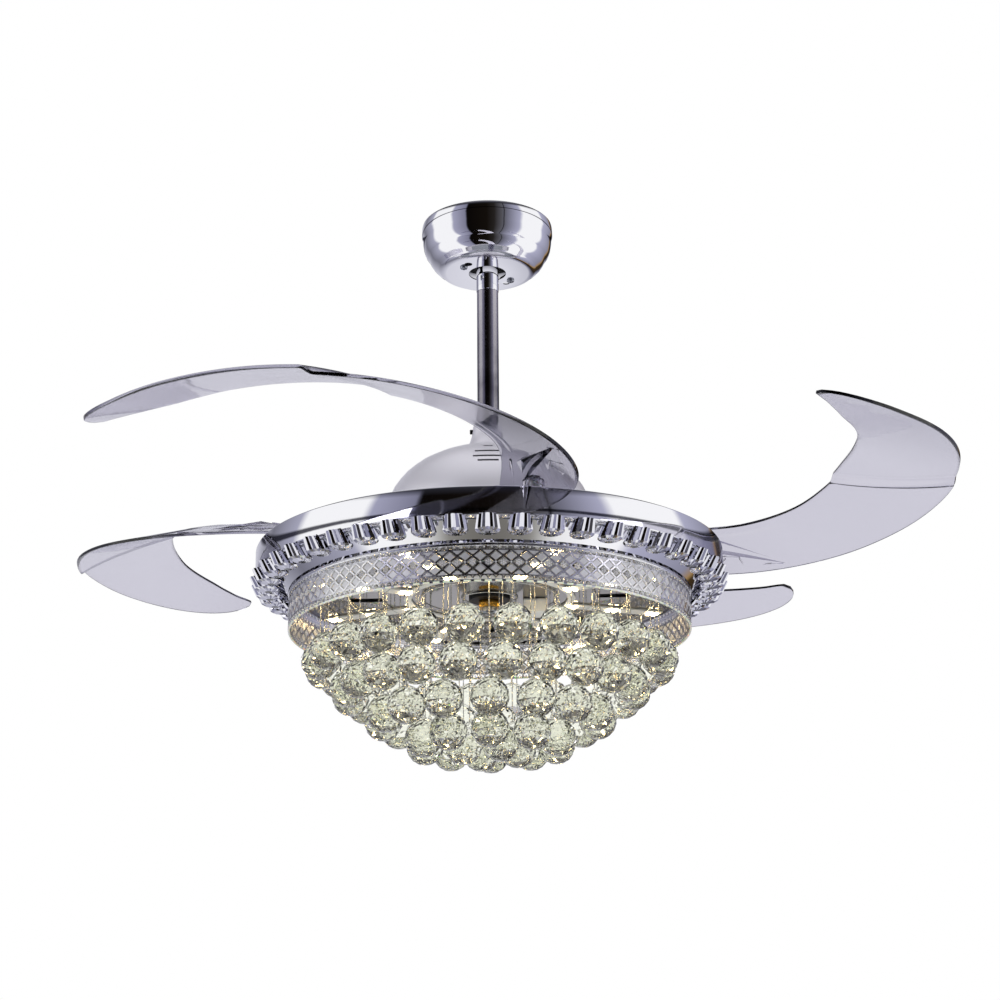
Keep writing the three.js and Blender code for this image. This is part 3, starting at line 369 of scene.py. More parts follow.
# Bright zinc plating is pale blue-grey, half dull, with a cloudy spangle.
zinc = mottled_finish("zinc_plated_steel", {"Metallic": 1.0, "Base Color": linear("#B4B8BE")},
                      cloud=SPANGLE, dull=0.48, bright=0.30, relief=0.01)
for number, side in ((1, -1), (2, 1)):
    screw = spun(f"canopy_screw_head_{number}", SCREW, 32)
    cut_out(screw, [slab(RECESS_LENGTH, RECESS_WIDTH, RECESS_LOW, RECESS_HIGH),
                    slab(RECESS_WIDTH, RECESS_LENGTH, RECESS_LOW, RECESS_HIGH, RECESS_OFFSET)])
    angle = math.radians(KEYHOLE_TURN)
    placed(screw, place=(side * KEYHOLE_RADIUS * math.cos(angle), side * KEYHOLE_RADIUS * math.sin(angle), 0))
    stands_for(screw, f"canopy_screw_{number}", "ceiling_mount", zinc)

# ---------------------------------------- hanger ball and downrod
# The rod hangs in a moulded nylon ball, and a steel pin through both carries it. The rod is drawn steel
# tube, plated in smoked nickel, and a chrome-plated sleeve covers its upper end.
HANGER_BALL_RADIUS = 25
HANGER_BALL_LEVEL = -28
HANGER_BALL = [(13.2, 0), (14.9, -17)] + [
    (HANGER_BALL_RADIUS * math.cos(math.radians(angle)), HANGER_BALL_RADIUS * math.sin(math.radians(angle)))
    for angle in range(-42, 43, 7)
] + [(14.9, 17)]
ROD_BORE = 10.9
ROD_RADIUS = 12.0
SLEEVE_RADIUS = 12.5
SLEEVE_LOW = -79
SLEEVE_GAP = 0.1


def heights(node):
    """A construction node's lowest and highest level, in millimetres."""
    return [corner.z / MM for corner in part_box(node)]


# Moulded black nylon is slightly glossy, with the fine grain of its mould.
black_nylon = mottled_finish("moulded_black_nylon", {"Base Color": linear("#0E0E10"), "IOR": 1.45},
                             cloud=1.5, dull=0.65, bright=0.5, relief=0.02)
# The ball's near-black colour is partly its black nylon and partly painted shade, for the shade inside the
# canopy round the rod.
ball = placed(spun("rod_ball", HANGER_BALL, 64), place=(0, 0, HANGER_BALL_LEVEL))
stands_for(ball, "hanger_ball", "swivel_ball", black_nylon)
dress(nodes["hanger_cross_pin"], zinc)
# Smoked nickel is a greyer mirror than chrome, and a little softer.
nickel = mottled_finish("smoked_nickel_plate", {"Metallic": 1.0, "Base Color": linear("#BFBBC3")},
                        cloud=20, dull=0.2, bright=0.12, relief=0.03)
rod_low, rod_high = heights("downrod")
for name, radius, low, high, finish in (
    ("rod_sleeve", SLEEVE_RADIUS, SLEEVE_LOW, rod_high, chrome),
    ("rod_tube", ROD_RADIUS, rod_low, SLEEVE_LOW - SLEEVE_GAP, nickel),
):
    tube = spun(name, [(ROD_BORE, low), (radius - 0.4, low), (radius, low + 0.5), (radius, high - 0.5),
                       (radius - 0.4, high), (ROD_BORE, high)], 64)
    stands_for(tube, "downrod", finish=finish)
for name in ("rod_coupling", "coupling_bolt", "motor_shaft"):
    dress(nodes[name], zinc)

# ---------------------------------------- motor cover
# A dome of spun aluminium in a satin paint. Air leaves by rows of slots in it, and a black grub screw
# clamps its neck to the rod. Profiles from here down to the skirt are measured from the top of the lamp.
LAMP_TOP = heights("chrome_band")[1]
COVER = [
    (114, 36), (114, 40), (112.8, 50), (110.8, 58), (108, 65), (104, 73.5), (99, 81), (93, 88.2),
    (86, 94.5), (79, 100), (71, 104.5), (63, 108.9), (54.5, 112.5), (46, 115.8), (38, 118.5), (32, 119.6),
    (28.5, 120.8), (25.3, 123.2), (22.4, 127), (20.2, 132), (18.4, 138), (17.4, 144), (17, 148.6),
    (16.4, 150), (12.9, 150), (12.9, 147), (15.4, 147), (16.8, 138), (19.8, 128.6), (24, 121.6),
    (30, 117.6), (38, 116.6), (54.5, 110.6), (71, 102.6), (86, 92.6), (98, 79), (106.6, 63), (111.3, 49),
    (112.5, 36),
]
VENTS = [(100, 5), (90, 14), (82, 16), (75.5, 11)]  # each row's level and half its length
VENT_HEIGHT = 2.4
VENT_REACH = 300  # a cutter goes right through, and so cuts the back too
GRUB = [(0, 0), (2.3, 0), (2.6, 0.4), (2.6, 7.2), (2.2, 7.6), (1.5, 7.6), (1.5, 5.6), (0, 5.6)]
GRUB_START, GRUB_LEVEL = -12.9, 144
# Satin paint in pearl grey, sprayed: a soft even sheen under a thin clear coat.
satin = mottled_finish("satin_pearl_paint", {
    "Base Color": linear("#E8E6EC"), "Metallic": 0.3, "Coat Weight": 0.25, "Coat Roughness": 0.3,
}, cloud=2, dull=0.40, bright=0.32, relief=0.015)
cover = placed(spun("motor_dome", COVER), place=(0, 0, LAMP_TOP))
cut_out(cover, [slab(2 * half, VENT_REACH, LAMP_TOP + level, LAMP_TOP + level + VENT_HEIGHT)
                for level, half in VENTS])
stands_for(cover, "motor_cover", finish=satin)
# Blackened steel is oiled after its oxide bath, and has a low dark shine.
black_steel = mottled_finish("blackened_steel", {"Base Color": linear("#16161A"), "Metallic": 0.6},
                             cloud=1, dull=0.5, bright=0.35, relief=0.01)
grub = spun("neck_grub_screw", GRUB, 24)
placed(grub, turn=(0, -90, 0), place=(GRUB_START, 0, LAMP_TOP + GRUB_LEVEL))
stands_for(grub, "neck_screw", finish=black_steel)

# ---------------------------------------- motor
# An outer-rotor motor under the dome: a pressed zinc-plated pot with magnets turns round a laminated
# stator with copper windings, on two ball bearings. Only the pot's side shows, above the blade disc.
POT = [(85, -0.2), (88, -0.2), (88, 64), (86.6, 68.4), (83, 72), (78, 74), (20, 74), (20, 83), (17, 83),
       (17, 71), (79, 71), (85, 65)]
# Stacked sheets of grey electrical steel, with a dull, finely ridged side.
laminated = mottled_finish("stacked_lamination_steel", {"Metallic": 0.9, "Base Color": linear("#6C6E73")},
                           cloud=0.8, dull=0.6, bright=0.4, relief=0.05)
# Copper under clear enamel: a reddish glint on a bumpy mass of turns.
copper = mottled_finish("enamelled_copper_wire", {"Metallic": 1.0, "Base Color": linear("#B5673A")},
                        cloud=0.7, dull=0.45, bright=0.25, relief=0.15)
# Sintered ferrite is charcoal grey and dry, like unglazed pottery.
ferrite = mottled_finish("sintered_ferrite", {"Base Color": linear("#39393C"), "IOR": 2.2},
                         cloud=0.5, dull=0.85, bright=0.7, relief=0.03)
for name, finish in (
    ("stator_core", laminated), ("winding_top", copper), ("winding_bottom", copper), ("bearing_top", zinc),
    ("bearing_bottom", zinc), ("magnet_ring", ferrite),
):
    dress(nodes[name], finish)
pot = placed(spun("rotor_pot", POT), place=(0, 0, LAMP_TOP))
stands_for(pot, "rotor_housing", "rotor", zinc)

# ---------------------------------------- blade disc, pivots and springs
# The disc is stamped from zinc-plated steel. At each pivot a nylon bush stands on it, a black bolt goes
# down through the blade's boss to a nut, and a coiled spring round the boss draws the blade in.
DISC = [(17, -3), (213.4, -3), (214, -2.4), (214, -1.1), (213.4, -0.5), (26, -0.5), (24.3, 0.8), (24, 13.6),
        (23.6, 14), (17, 14)]
PIVOT = (46, -194.5)
BOLT_HOLE = 4.3
BOLT_HEAD_RADIUS, BOLT_HEAD_HEIGHT = 8, 3.2
BOLT_SOCKET_RADIUS, BOLT_SOCKET_DEPTH = 3.6, 1.6
SPRING_TURNS, SPRING_STEPS = 3, 32
SPRING_PITCH = 2.4
SPRING_RADIUS = 12.4
SPRING_WIRE = 0.9
disc = placed(spun("turning_disc", DISC), place=(0, 0, LAMP_TOP))
cut_out(disc, [placed(peg(BOLT_HOLE, LAMP_TOP - 5, LAMP_TOP + 1, *PIVOT, sides=24), turn=(0, 0, 90 * quarter))
               for quarter in range(4)])
stands_for(disc, "blade_disc", "rotor", zinc)


def turned_copy(piece, angle):
    """A copy of a piece, with its own mesh, turned by degrees round the fan's axis."""
    copy = piece.copy()
    copy.data = piece.data.copy()
    bpy.context.collection.objects.link(copy)
    return placed(copy, turn=(0, 0, angle))


bolt_low, bolt_high = heights("pivot_bolt_1")
head_low = bolt_high - BOLT_HEAD_HEIGHT
head = peg(BOLT_HEAD_RADIUS, head_low, bolt_high, sides=6)
apply(head, "BEVEL", width=0.6 * MM, segments=3, limit_method="ANGLE")
cut_out(head, [peg(BOLT_SOCKET_RADIUS, bolt_high - BOLT_SOCKET_DEPTH, bolt_high + 1, sides=6)])
shank = spun("shank", [(0, bolt_low), (3.4, bolt_low), (4, bolt_low + 0.6), (4, head_low + 0.5),
                       (0, head_low + 0.5)], 32)
bolt = placed(joined("pivot_bolt_head", [head, shank]), place=(*PIVOT, 0))
spring_low = heights("return_spring_1")[0]
route = bpy.data.curves.new("coil", "CURVE")
route.dimensions = "3D"
route.bevel_depth = SPRING_WIRE * MM
route.bevel_resolution = 3
route.use_fill_caps = True
line = route.splines.new("POLY")
line.points.add(SPRING_TURNS * SPRING_STEPS)
for place, point in enumerate(line.points):
    angle = place / SPRING_STEPS * 2 * math.pi
    level = spring_low + SPRING_WIRE + place / SPRING_STEPS * SPRING_PITCH
    point.co = (SPRING_RADIUS * math.cos(angle) * MM, SPRING_RADIUS * math.sin(angle) * MM, level * MM, 1)
coil = bpy.data.objects.new("torsion_coil", route)
bpy.context.collection.objects.link(coil)
only(coil)
bpy.ops.object.convert(target="MESH")
coil = placed(bpy.context.object, place=(*PIVOT, 0))
bpy.ops.object.shade_smooth_by_angle(angle=math.radians(50))
# Natural nylon is milky, and lets a little light into its skin.
white_nylon = mottled_finish("moulded_white_nylon", {
    "Base Color": linear("#E6E4DC"), "IOR": 1.53, "Subsurface Weight": 0.15, "Subsurface Scale": 0.003,
}, cloud=1.2, dull=0.5, bright=0.4, relief=0.02)
for quarter in range(4):
    number = quarter + 1
    stands_for(turned_copy(bolt, 90 * quarter), f"pivot_bolt_{number}", "rotor", black_steel)
    stands_for(turned_copy(coil, 90 * quarter), f"return_spring_{number}", "rotor", zinc)
    dress(nodes[f"blade_bush_{number}"], white_nylon)
    dress(nodes[f"pivot_nut_{number}"], zinc)
bpy.data.objects.remove(bolt)
bpy.data.objects.remove(coil)

# ---------------------------------------- sickle blades
# Each blade is one moulding of clear acrylic, tinted smoky lavender, three millimetres thick. A low step
# runs across its middle, the edges are rounded, and a peak and some ribs stiffen the root round its boss.
BLADE_FOLD = math.radians(84)
BLADE_CENTRE = (PIVOT[0] - PIVOT[0] * math.cos(BLADE_FOLD) + PIVOT[1] * math.sin(BLADE_FOLD),
                PIVOT[1] - PIVOT[0] * math.sin(BLADE_FOLD) - PIVOT[1] * math.cos(BLADE_FOLD))
PIVOT_ARM = math.hypot(*PIVOT)
# Each row of the outline is the angle round the blade's own centre, how far the outer edge lies inside
# its circle, the width, the level and the fall outwards. The centre lands on the fan's axis when the
# blade is folded.
BLADE_OUTLINE = [
    (25, 52, 20, 12, 0.41), (18, 40, 40, 14.5, 0.41), (8, 24, 61, 18, 0.41), (-4, 13, 73, 20.5, 0.41),
    (-20, 5.5, 79, 24, 0.4), (-40, 0.5, 88.5, 30, 0.37), (-60, 0, 99, 36.5, 0.33),
    (-80, 0.5, 105.5, 41.5, 0.28), (-100, 0.5, 102, 43.5, 0.25), (-120, 0, 90, 43, 0.25),
    (-137, 0.5, 75, 42.5, 0.25), (-147, 1, 57, 44.5, 0.25), (-153, 4.5, 39, 47, 0.25),
    (-156.5, 11, 24, 49, 0.25), (-158.5, 20, 9, 50, 0.25),
]
BLADE_OUTER = 252.5
BLADE_THICKNESS = 3
BLADE_STEP = 6
STEP_START, STEP_END = -89, -92
STEP_LEAN, STEP_LEAN_SPREAD = 24.6, 66
GROOVE_DEPTH = 0.9
GROOVE_MIDDLE, GROOVE_HALF, GROOVE_COLUMNS = -26, 24, 5
ROWS, COLUMNS = 112, 24
ROWS_BEFORE_STEP, ROWS_ON_STEP = 60, 10
BOSS_RADIUS, BOSS_BORE = 11, 6.3
# Each rib runs from one station and share of the width to another, with its height and width.
RIBS = [
    ((-4, 0.13), (12, 0.24), 4.5, 4), ((-26, 0.93), (-20, 0.85), 3, 2.5), ((-15, 0.68), (-16, 0.9), 3, 2.5),
    ((-11, 0.68), (-8, 0.86), 3, 2.5), ((-15, 0.68), (-4, 0.6), 3, 2.5), ((8, 0.72), (12, 0.9), 3, 2.5),
]
RIB_END_HEIGHT = 0.35  # as a share of the rib's height at its start
RIB_TOP_WIDTH = 0.45  # as a share of its width at its foot
PEAK_CORNERS = [(-4, 0.17), (-29, 0.96), (8.5, 0.36)]
PEAK_SINK = -0.6
PEAK_TOP = (-7, 0.3)
PEAK_HEIGHT = 7


def smooth_value(table, column, angle):
    """Reads a smooth curve through one column of the outline, between its angles."""
    place = next((k for k in range(len(table) - 1) if angle >= table[k + 1][0]), len(table) - 2)
    rows = [table[min(max(place + step, 0), len(table) - 1)] for step in (-1, 0, 1, 2)]
    start, end = rows[1], rows[2]
    run = start[0] - end[0]
    t = (start[0] - angle) / run
    slopes = [(rows[k + 1][column] - rows[k - 1][column]) / max(rows[k - 1][0] - rows[k + 1][0], 1)
              for k in (1, 2)]
    return ((2 * t**3 - 3 * t**2 + 1) * start[column] + (t**3 - 2 * t**2 + t) * run * slopes[0]
            + (3 * t**2 - 2 * t**3) * end[column] + (t**3 - t**2) * run * slopes[1])


def blade_point(station, share, lift=0.0):
    """A point on the blade's middle surface, in metres. Lines of one station run parallel to the slanting
    step, and the share goes from the inner edge, 0, to the outer one, 1."""
    lean = STEP_LEAN * max(0, 1 - abs(station - STEP_START) / STEP_LEAN_SPREAD)
    angle = station + lean * (1 - share)
    inset, width, level, fall = (smooth_value(BLADE_OUTLINE, column, angle) for column in (1, 2, 3, 4))
    radius = BLADE_OUTER - inset - width * (1 - share)
    run = min(max((STEP_START - station) / (STEP_START - STEP_END), 0), 1)
    rise = BLADE_STEP * run * run * (3 - 2 * run)
    height = LAMP_TOP + level - fall * (radius - PIVOT_ARM) + rise + lift
    turn = math.radians(angle)
    x, y = BLADE_CENTRE[0] + radius * math.cos(turn), BLADE_CENTRE[1] + radius * math.sin(turn)
    return Vector((x, y, height)) * MM


def blade_station(row):
    """The station of a row of the sheet. The rows are spread evenly, but close together over the step."""
    first, last = BLADE_OUTLINE[0][0], BLADE_OUTLINE[-1][0]
    near, far = STEP_START + 1, STEP_END - 1
    if row <= ROWS_BEFORE_STEP:
        return first + (near - first) * row / ROWS_BEFORE_STEP
    row -= ROWS_BEFORE_STEP
    if row <= ROWS_ON_STEP:
        return near + (far - near) * row / ROWS_ON_STEP
    return far + (last - far) * (row - ROWS_ON_STEP) / (ROWS - ROWS_BEFORE_STEP - ROWS_ON_STEP)


def face_outwards(piece):
    """Turns all faces of a piece outwards."""
    only(piece)
    bpy.ops.object.mode_set(mode="EDIT")
    bpy.ops.mesh.select_all(action="SELECT")
    bpy.ops.mesh.normals_make_consistent(inside=False)
    bpy.ops.object.mode_set(mode="OBJECT")


def rib(start, end, height, width):
    """A tapered rib on the blade between two points of its own station and share."""
    first, last = blade_point(*start), blade_point(*end)
    along = (last - first).normalized()
    side = along.cross(Vector((0, 0, 1))).normalized() * width * MM / 2
    up = Vector((0, 0, height * MM))
    sink = Vector((0, 0, -BLADE_THICKNESS * MM / 4))
    bpy.ops.mesh.primitive_cube_add(size=1)
    piece = bpy.context.object
    for vertex in piece.data.vertices:
        base, tall = (first, 1) if vertex.co.x < 0 else (last, RIB_END_HEIGHT)
        lean = 1 if vertex.co.z < 0 else RIB_TOP_WIDTH
        lift = sink if vertex.co.z < 0 else up * tall
        vertex.co = base + side * (2 * vertex.co.y) * lean + lift
    return piece


bpy.ops.mesh.primitive_grid_add(x_subdivisions=ROWS, y_subdivisions=COLUMNS, size=1)
sheet = bpy.context.object
for vertex in sheet.data.vertices:
    station = blade_station(round((vertex.co.x + 0.5) * ROWS))
    column = round((vertex.co.y + 0.5) * COLUMNS)
    fade = max(0, 1 - abs(station - GROOVE_MIDDLE) / GROOVE_HALF)
    groove = GROOVE_DEPTH * fade if column < GROOVE_COLUMNS and column % 2 else 0
    vertex.co = blade_point(station, column / COLUMNS, groove)
face_outwards(sheet)
apply(sheet, "SOLIDIFY", thickness=BLADE_THICKNESS * MM, offset=0)
apply(sheet, "BEVEL", width=1.1 * MM, segments=3, limit_method="ANGLE", angle_limit=math.radians(60))
boss_low, boss_high = LAMP_TOP + 1.3, head_low - 0.3
boss = peg(BOSS_RADIUS, boss_low, boss_high, *PIVOT, sides=48)
apply(boss, "BEVEL", width=0.8 * MM, segments=2, limit_method="ANGLE")
ribs = [rib(*row) for row in RIBS]
# The peak is a low three-sided pyramid beside the boss, with one corner drawn out to the outer edge.
bpy.ops.mesh.primitive_cone_add(vertices=3)
peak = bpy.context.object
corners = [vertex for vertex in peak.data.vertices if vertex.co.z < 0]
for vertex, corner in zip(corners, PEAK_CORNERS):
    vertex.co = blade_point(*corner, PEAK_SINK)
top = next(vertex for vertex in peak.data.vertices if vertex not in corners)
top.co = blade_point(*PEAK_TOP, PEAK_HEIGHT)
face_outwards(peak)
for item in (boss, *ribs, peak):
    apply(sheet, "BOOLEAN", operation="UNION", solver="EXACT", object=item)
    bpy.data.objects.remove(item)
cut_out(sheet, [peg(BOSS_BORE, boss_low - 2, boss_high + 2, *PIVOT, sides=32)])
sheet.name = "sickle_moulding"
only(sheet)
bpy.ops.object.shade_smooth_by_angle(angle=math.radians(28))
# Moulded acrylic is clear as glass with a little smoke in it, and looks darker where the eye meets it at
# a slant.
acrylic = mottled_finish("smoky_lavender_acrylic", {
    "Base Color": linear("#CCCAD7"), "Transmission Weight": 1.0, "IOR": 1.49,
}, cloud=30, dull=0.05, bright=0.01, relief=0.04)
for quarter in range(4):
    number = quarter + 1
    blade = turned_copy(sheet, 90 * quarter)
    stands_for(blade, f"blade_{number}", f"sickle_{number}", acrylic)
    blade.name = f"sickle_{number}"
bpy.data.objects.remove(sheet)

# ---------------------------------------- chrome band, tray and skirt
# The band is a hoop of rolled steel strip with rounded edges, and the skirt under it is spun steel. Both
# are chrome plated, so that the skirt mirrors the glass drums. The tray behind them is painted as the
# dome is.
BAND = [(248, -29), (249.2, -29), (250, -28), (250, -1.6), (249.5, -0.5), (248.5, 0), (245, 0), (244.6, -0.5),
        (245, -1), (248, -2)]
TRAY = [(8.3, -11), (245.7, -11), (245.7, -25.7), (247.7, -25.7), (247.7, -9), (8.3, -9)]
SKIRT = [(202.8, -46.7), (214.8, -46.7), (214.8, -43.7), (233, -27.5), (247.7, -27.5), (247.7, -26),
         (231.5, -26), (213.3, -43.7), (213.3, -45.2), (202.8, -45.2)]
HOOP_STEPS = 192
for name, profile, node, slot, finish in (
    ("lamp_hoop", BAND, "chrome_band", "chrome", chrome),
    ("lamp_pan", TRAY, "lamp_tray", "satin_grey", satin),
    ("lamp_cone", SKIRT, "lamp_skirt", "chrome", chrome),
):
    stands_for(placed(spun(name, profile, HOOP_STEPS), place=(0, 0, LAMP_TOP)), node, finish=finish)

# ---------------------------------------- drums of cut glass under the band
# Short fluted barrels of lead glass, threaded side by side on a steel wire. They lean out at the top,
# their sides are silvered like a mirror, and the middle of each cut lower end is left clear.
DRUMS = 48
DRUM_FLUTES = 14
FLUTE_DEPTH = 0.86  # the radius in a flute, as a share of the radius on a ridge
DRUM_RADIUS, DRUM_TOP_RADIUS = 12.5, 10.5
DRUM_HEIGHT = 12
DRUM_LEAN = math.tan(math.radians(33))
DRUM_PITCH = 241.5
DRUM_END_CUTS = [(1.6, 1.8), (4.6, 1.6)]  # each cut's width and how far it stands out
DRUM_WIRE_BELOW = 2.4
DRUM_WIRE = 0.8
drum_low, drum_high = heights("rim_crystals")
# Polished lead glass bends light strongly and breaks it up in its facets. Its faint yellow-green tint is
# partly its own and partly painted light, for the warm glow of the LEDs.
glass = mottled_finish("cut_lead_glass", {
    "Base Color": linear("#FBFCF1"), "Transmission Weight": 1.0, "IOR": 1.54,
}, cloud=12, dull=0.012, bright=0.0)
# Silvering behind glass is a cold bright mirror with slight waves.
silvered = mottled_finish("silvered_glass", {"Metallic": 1.0, "Base Color": linear("#E6E6EE")},
                          cloud=6, dull=0.08, bright=0.02, relief=0.04)
drum = peg(DRUM_RADIUS, -DRUM_HEIGHT / 2, DRUM_HEIGHT / 2, sides=2 * DRUM_FLUTES)
for vertex in drum.data.vertices:
    angle = math.atan2(vertex.co.y, vertex.co.x)
    size = FLUTE_DEPTH if round(angle / (math.pi / DRUM_FLUTES)) % 2 else 1
    if vertex.co.z > 0:
        size *= DRUM_TOP_RADIUS / DRUM_RADIUS
    vertex.co.x *= size
    vertex.co.y *= size
only(drum)
bpy.ops.object.mode_set(mode="EDIT")
bpy.ops.mesh.select_all(action="DESELECT")
bpy.context.tool_settings.mesh_select_mode = (False, False, True)
for face in bmesh.from_edit_mesh(drum.data).faces:
    face.select_set(face.normal.z < -0.9)  # the lower end
bmesh.update_edit_mesh(drum.data)
for width, rise in DRUM_END_CUTS:
    bpy.ops.mesh.inset(thickness=width * MM, depth=rise * MM)
bpy.ops.object.mode_set(mode="OBJECT")
dress(drum, silvered, glass)
for face in drum.data.polygons:
    face.material_index = 1 if face.normal.z < -0.98 else 0  # clear in the flat middle of the lower end
for vertex in drum.data.vertices:
    vertex.co.x += vertex.co.z * DRUM_LEAN
placed(drum, place=(DRUM_PITCH, 0, (drum_low + drum_high) / 2))


def repeated(piece, turns):
    """Copies of a piece turned round the fan's axis by each of these angles. The piece itself is deleted."""
    copies = [turned_copy(piece, angle) for angle in turns]
    bpy.data.objects.remove(piece)
    return copies


drums = joined("glass_drums", repeated(drum, [place * 360 / DRUMS for place in range(DRUMS)]))
stands_for(drums, "rim_crystals")
wire_radius = DRUM_PITCH + (DRUM_HEIGHT / 2 - DRUM_WIRE_BELOW) * DRUM_LEAN
bpy.ops.mesh.primitive_torus_add(
    major_radius=wire_radius * MM, minor_radius=DRUM_WIRE * MM, major_segments=144, minor_segments=8)
wire = placed(bpy.context.object, place=(0, 0, drum_high - DRUM_WIRE_BELOW))
wire.name = "drum_wire"
stands_for(wire, "rim_crystals", finish=zinc)

# ---------------------------------------- filigree ring
# A pierced band of cast zinc, chrome plated: three rows of diamonds between two rows of scallops, with a
# small flower in each diamond of the middle row. Its small solid motifs are satin chromed, and milk-glass
# rods are strung along its lower edge.
CELLS = 90
FILIGREE_RADIUS = 213.1
CELL = 2 * math.pi * FILIGREE_RADIUS / CELLS
EDGE = 2.2
SCALLOP = 4.6
PETALS, PETAL_RING = 6, 2.3
LOZENGE_SHARE = 0.66  # how much of its diamond a lozenge fills
RODS = 132
ROD_END = 3.6
filigree_low, filigree_high = heights("filigree_ring")
# Chrome on an unpolished casting glitters softly, as its skin is a little uneven.
plated = mottled_finish("chrome_plated_casting", {"Metallic": 1.0, "Base Color": linear("#ECECF0")},
                        cloud=3, dull=0.26, bright=0.1, relief=0.03)
# Satin chrome is brushed before it is plated, and stays pale where bright chrome turns dark.
satin_chrome = mottled_finish("satin_chrome_plate", {"Metallic": 0.55, "Base Color": linear("#E9E8EA")},
                              cloud=2, dull=0.5, bright=0.35, relief=0.04)


def bar(start, end, width, depth, finish=plated):
    """A flat bar across the cell, from point to point of sideways and height, in millimetres."""
    (x1, z1), (x2, z2) = start, end
    length = math.hypot(x2 - x1, z2 - z1)
    bpy.ops.mesh.primitive_cube_add(size=1)
    piece = bpy.context.object
    piece.scale = ((length + width * 0.6) * MM, depth * MM, width * MM)
    placed(piece)
    dress(piece, finish)
    angle = math.degrees(math.atan2(z2 - z1, x2 - x1))
    return placed(piece, turn=(0, -angle, 0), place=((x1 + x2) / 2, 0, (z1 + z2) / 2))


def bead(radius, x, z, y=0.0):
    """A small round bead on the ring's face."""
    bpy.ops.mesh.primitive_ico_sphere_add(subdivisions=1, radius=radius * MM)
    dress(bpy.context.object, satin_chrome)
    return placed(bpy.context.object, place=(x, y, z))


field_low, field_high = filigree_low + EDGE + SCALLOP, filigree_high - EDGE - SCALLOP
middle = (field_low + field_high) / 2
half_cell = CELL / 2
half_diamond = (field_high - field_low) / 4
cell = []
for low, high in ((field_low, middle), (middle, field_high)):
    cell.append(bar((-half_cell, low), (half_cell, high), width=1.7, depth=1.9))
    cell.append(bar((-half_cell, high), (half_cell, low), width=1.7, depth=1.9))
for petal in range(PETALS):
    angle = math.radians(90 + 360 / PETALS * petal)
    cell.append(bead(1.2, PETAL_RING * math.cos(angle), middle + PETAL_RING * math.sin(angle), -0.5))
cell.append(bead(1.3, 0, middle, -1.0))
cell.append(bead(1.2, half_cell, middle, -0.9))
# Thin lozenges close the upper and the lower row of diamonds, set back behind the bars.
for side in (-1, 1):
    bpy.ops.mesh.primitive_cylinder_add(vertices=4, radius=MM, depth=0.8 * MM)
    lozenge = bpy.context.object
    lozenge.scale = (half_cell * LOZENGE_SHARE, half_diamond * LOZENGE_SHARE, 1)
    dress(lozenge, satin_chrome)
    placed(lozenge)
    cell.append(placed(lozenge, turn=(90, 0, 0), place=(half_cell, 0.3, middle + side * half_diamond)))
# Small leaves fill the half diamonds along the two edges, each a wide bar and, further in, a narrow one.
for level, inward in ((field_low, 1), (field_high, -1)):
    for half, rise, width in ((3.6, 1.3, 1.7), (1.6, 3, 1.5)):
        leaf = level + inward * rise
        cell.append(bar((-half, leaf), (half, leaf), width, depth=0.9, finish=satin_chrome))
# A row of scallops along each edge has a bead in each arch and at each foot, and a rail along its crowns.
for edge, inward in ((filigree_low + EDGE, 1), (filigree_high - EDGE, -1)):
    for offset in (-half_cell / 2, half_cell / 2):
        arch = [(offset + half_cell / 2 * math.cos(math.radians(angle)),
                 edge + inward * SCALLOP * math.sin(math.radians(angle))) for angle in range(0, 181, 45)]
        cell += [bar(start, end, width=0.9, depth=1.4) for start, end in zip(arch, arch[1:])]
        cell.append(bead(0.95, offset, edge + inward * 1.6, -0.4))
        cell.append(bead(0.8, offset - half_cell / 2, edge + inward * 0.6, -0.6))
    rail = edge + inward * SCALLOP
    cell.append(bar((-half_cell, rail), (half_cell, rail), width=0.8, depth=1.2))
lattice = placed(joined("lattice_cell", cell), place=(0, -FILIGREE_RADIUS, 0))
lattice = joined("filigree_lattice", repeated(lattice, [place * 360 / CELLS for place in range(CELLS)]))
stands_for(lattice, "filigree_ring")
for name, low, high in (("filigree_lower_edge", filigree_low, filigree_low + EDGE),
                        ("filigree_upper_edge", filigree_high - EDGE, filigree_high)):
    hoop = spun(name, [(212.3, low), (213.8, low), (214.1, (low + high) / 2), (213.8, high), (212.3, high)],
                HOOP_STEPS)
    stands_for(hoop, "filigree_ring", finish=plated)
# Milk glass is cream white and glossy, and light sinks a little way into it.
milk = mottled_finish("milk_glass", {
    "Base Color": linear("#F6F3DA"), "IOR": 1.52, "Subsurface Weight": 0.4, "Subsurface Scale": 0.004,
}, cloud=2, dull=0.2, bright=0.08, relief=0.01)
rod_bead = placed(peg(1.3, -ROD_END, ROD_END, sides=8), turn=(90, 0, 0))
apply(rod_bead, "BEVEL", width=0.4 * MM, segments=1, limit_method="ANGLE")
placed(rod_bead, place=(213, 0, filigree_low + 0.9))
rods = joined("edge_rods", repeated(rod_bead, [place * 360 / RODS for place in range(RODS)]))
stands_for(rods, "filigree_ring", finish=milk)

# ---------------------------------------- mirror plate and standoffs
# The plate is polished stainless steel with slots that let the heat out. Three brass pillars hold it
# under the tray.
PLATE_RADIUS = 211.8
PLATE_BORE = 8.3
PLATE_EDGE = 0.4
SLOTS = 8
SLOT_RADIUS = 132
SLOT_SIZE = (34, 15)
BOARD_TURN = 20
plate_low, plate_high = heights("mirror_plate")
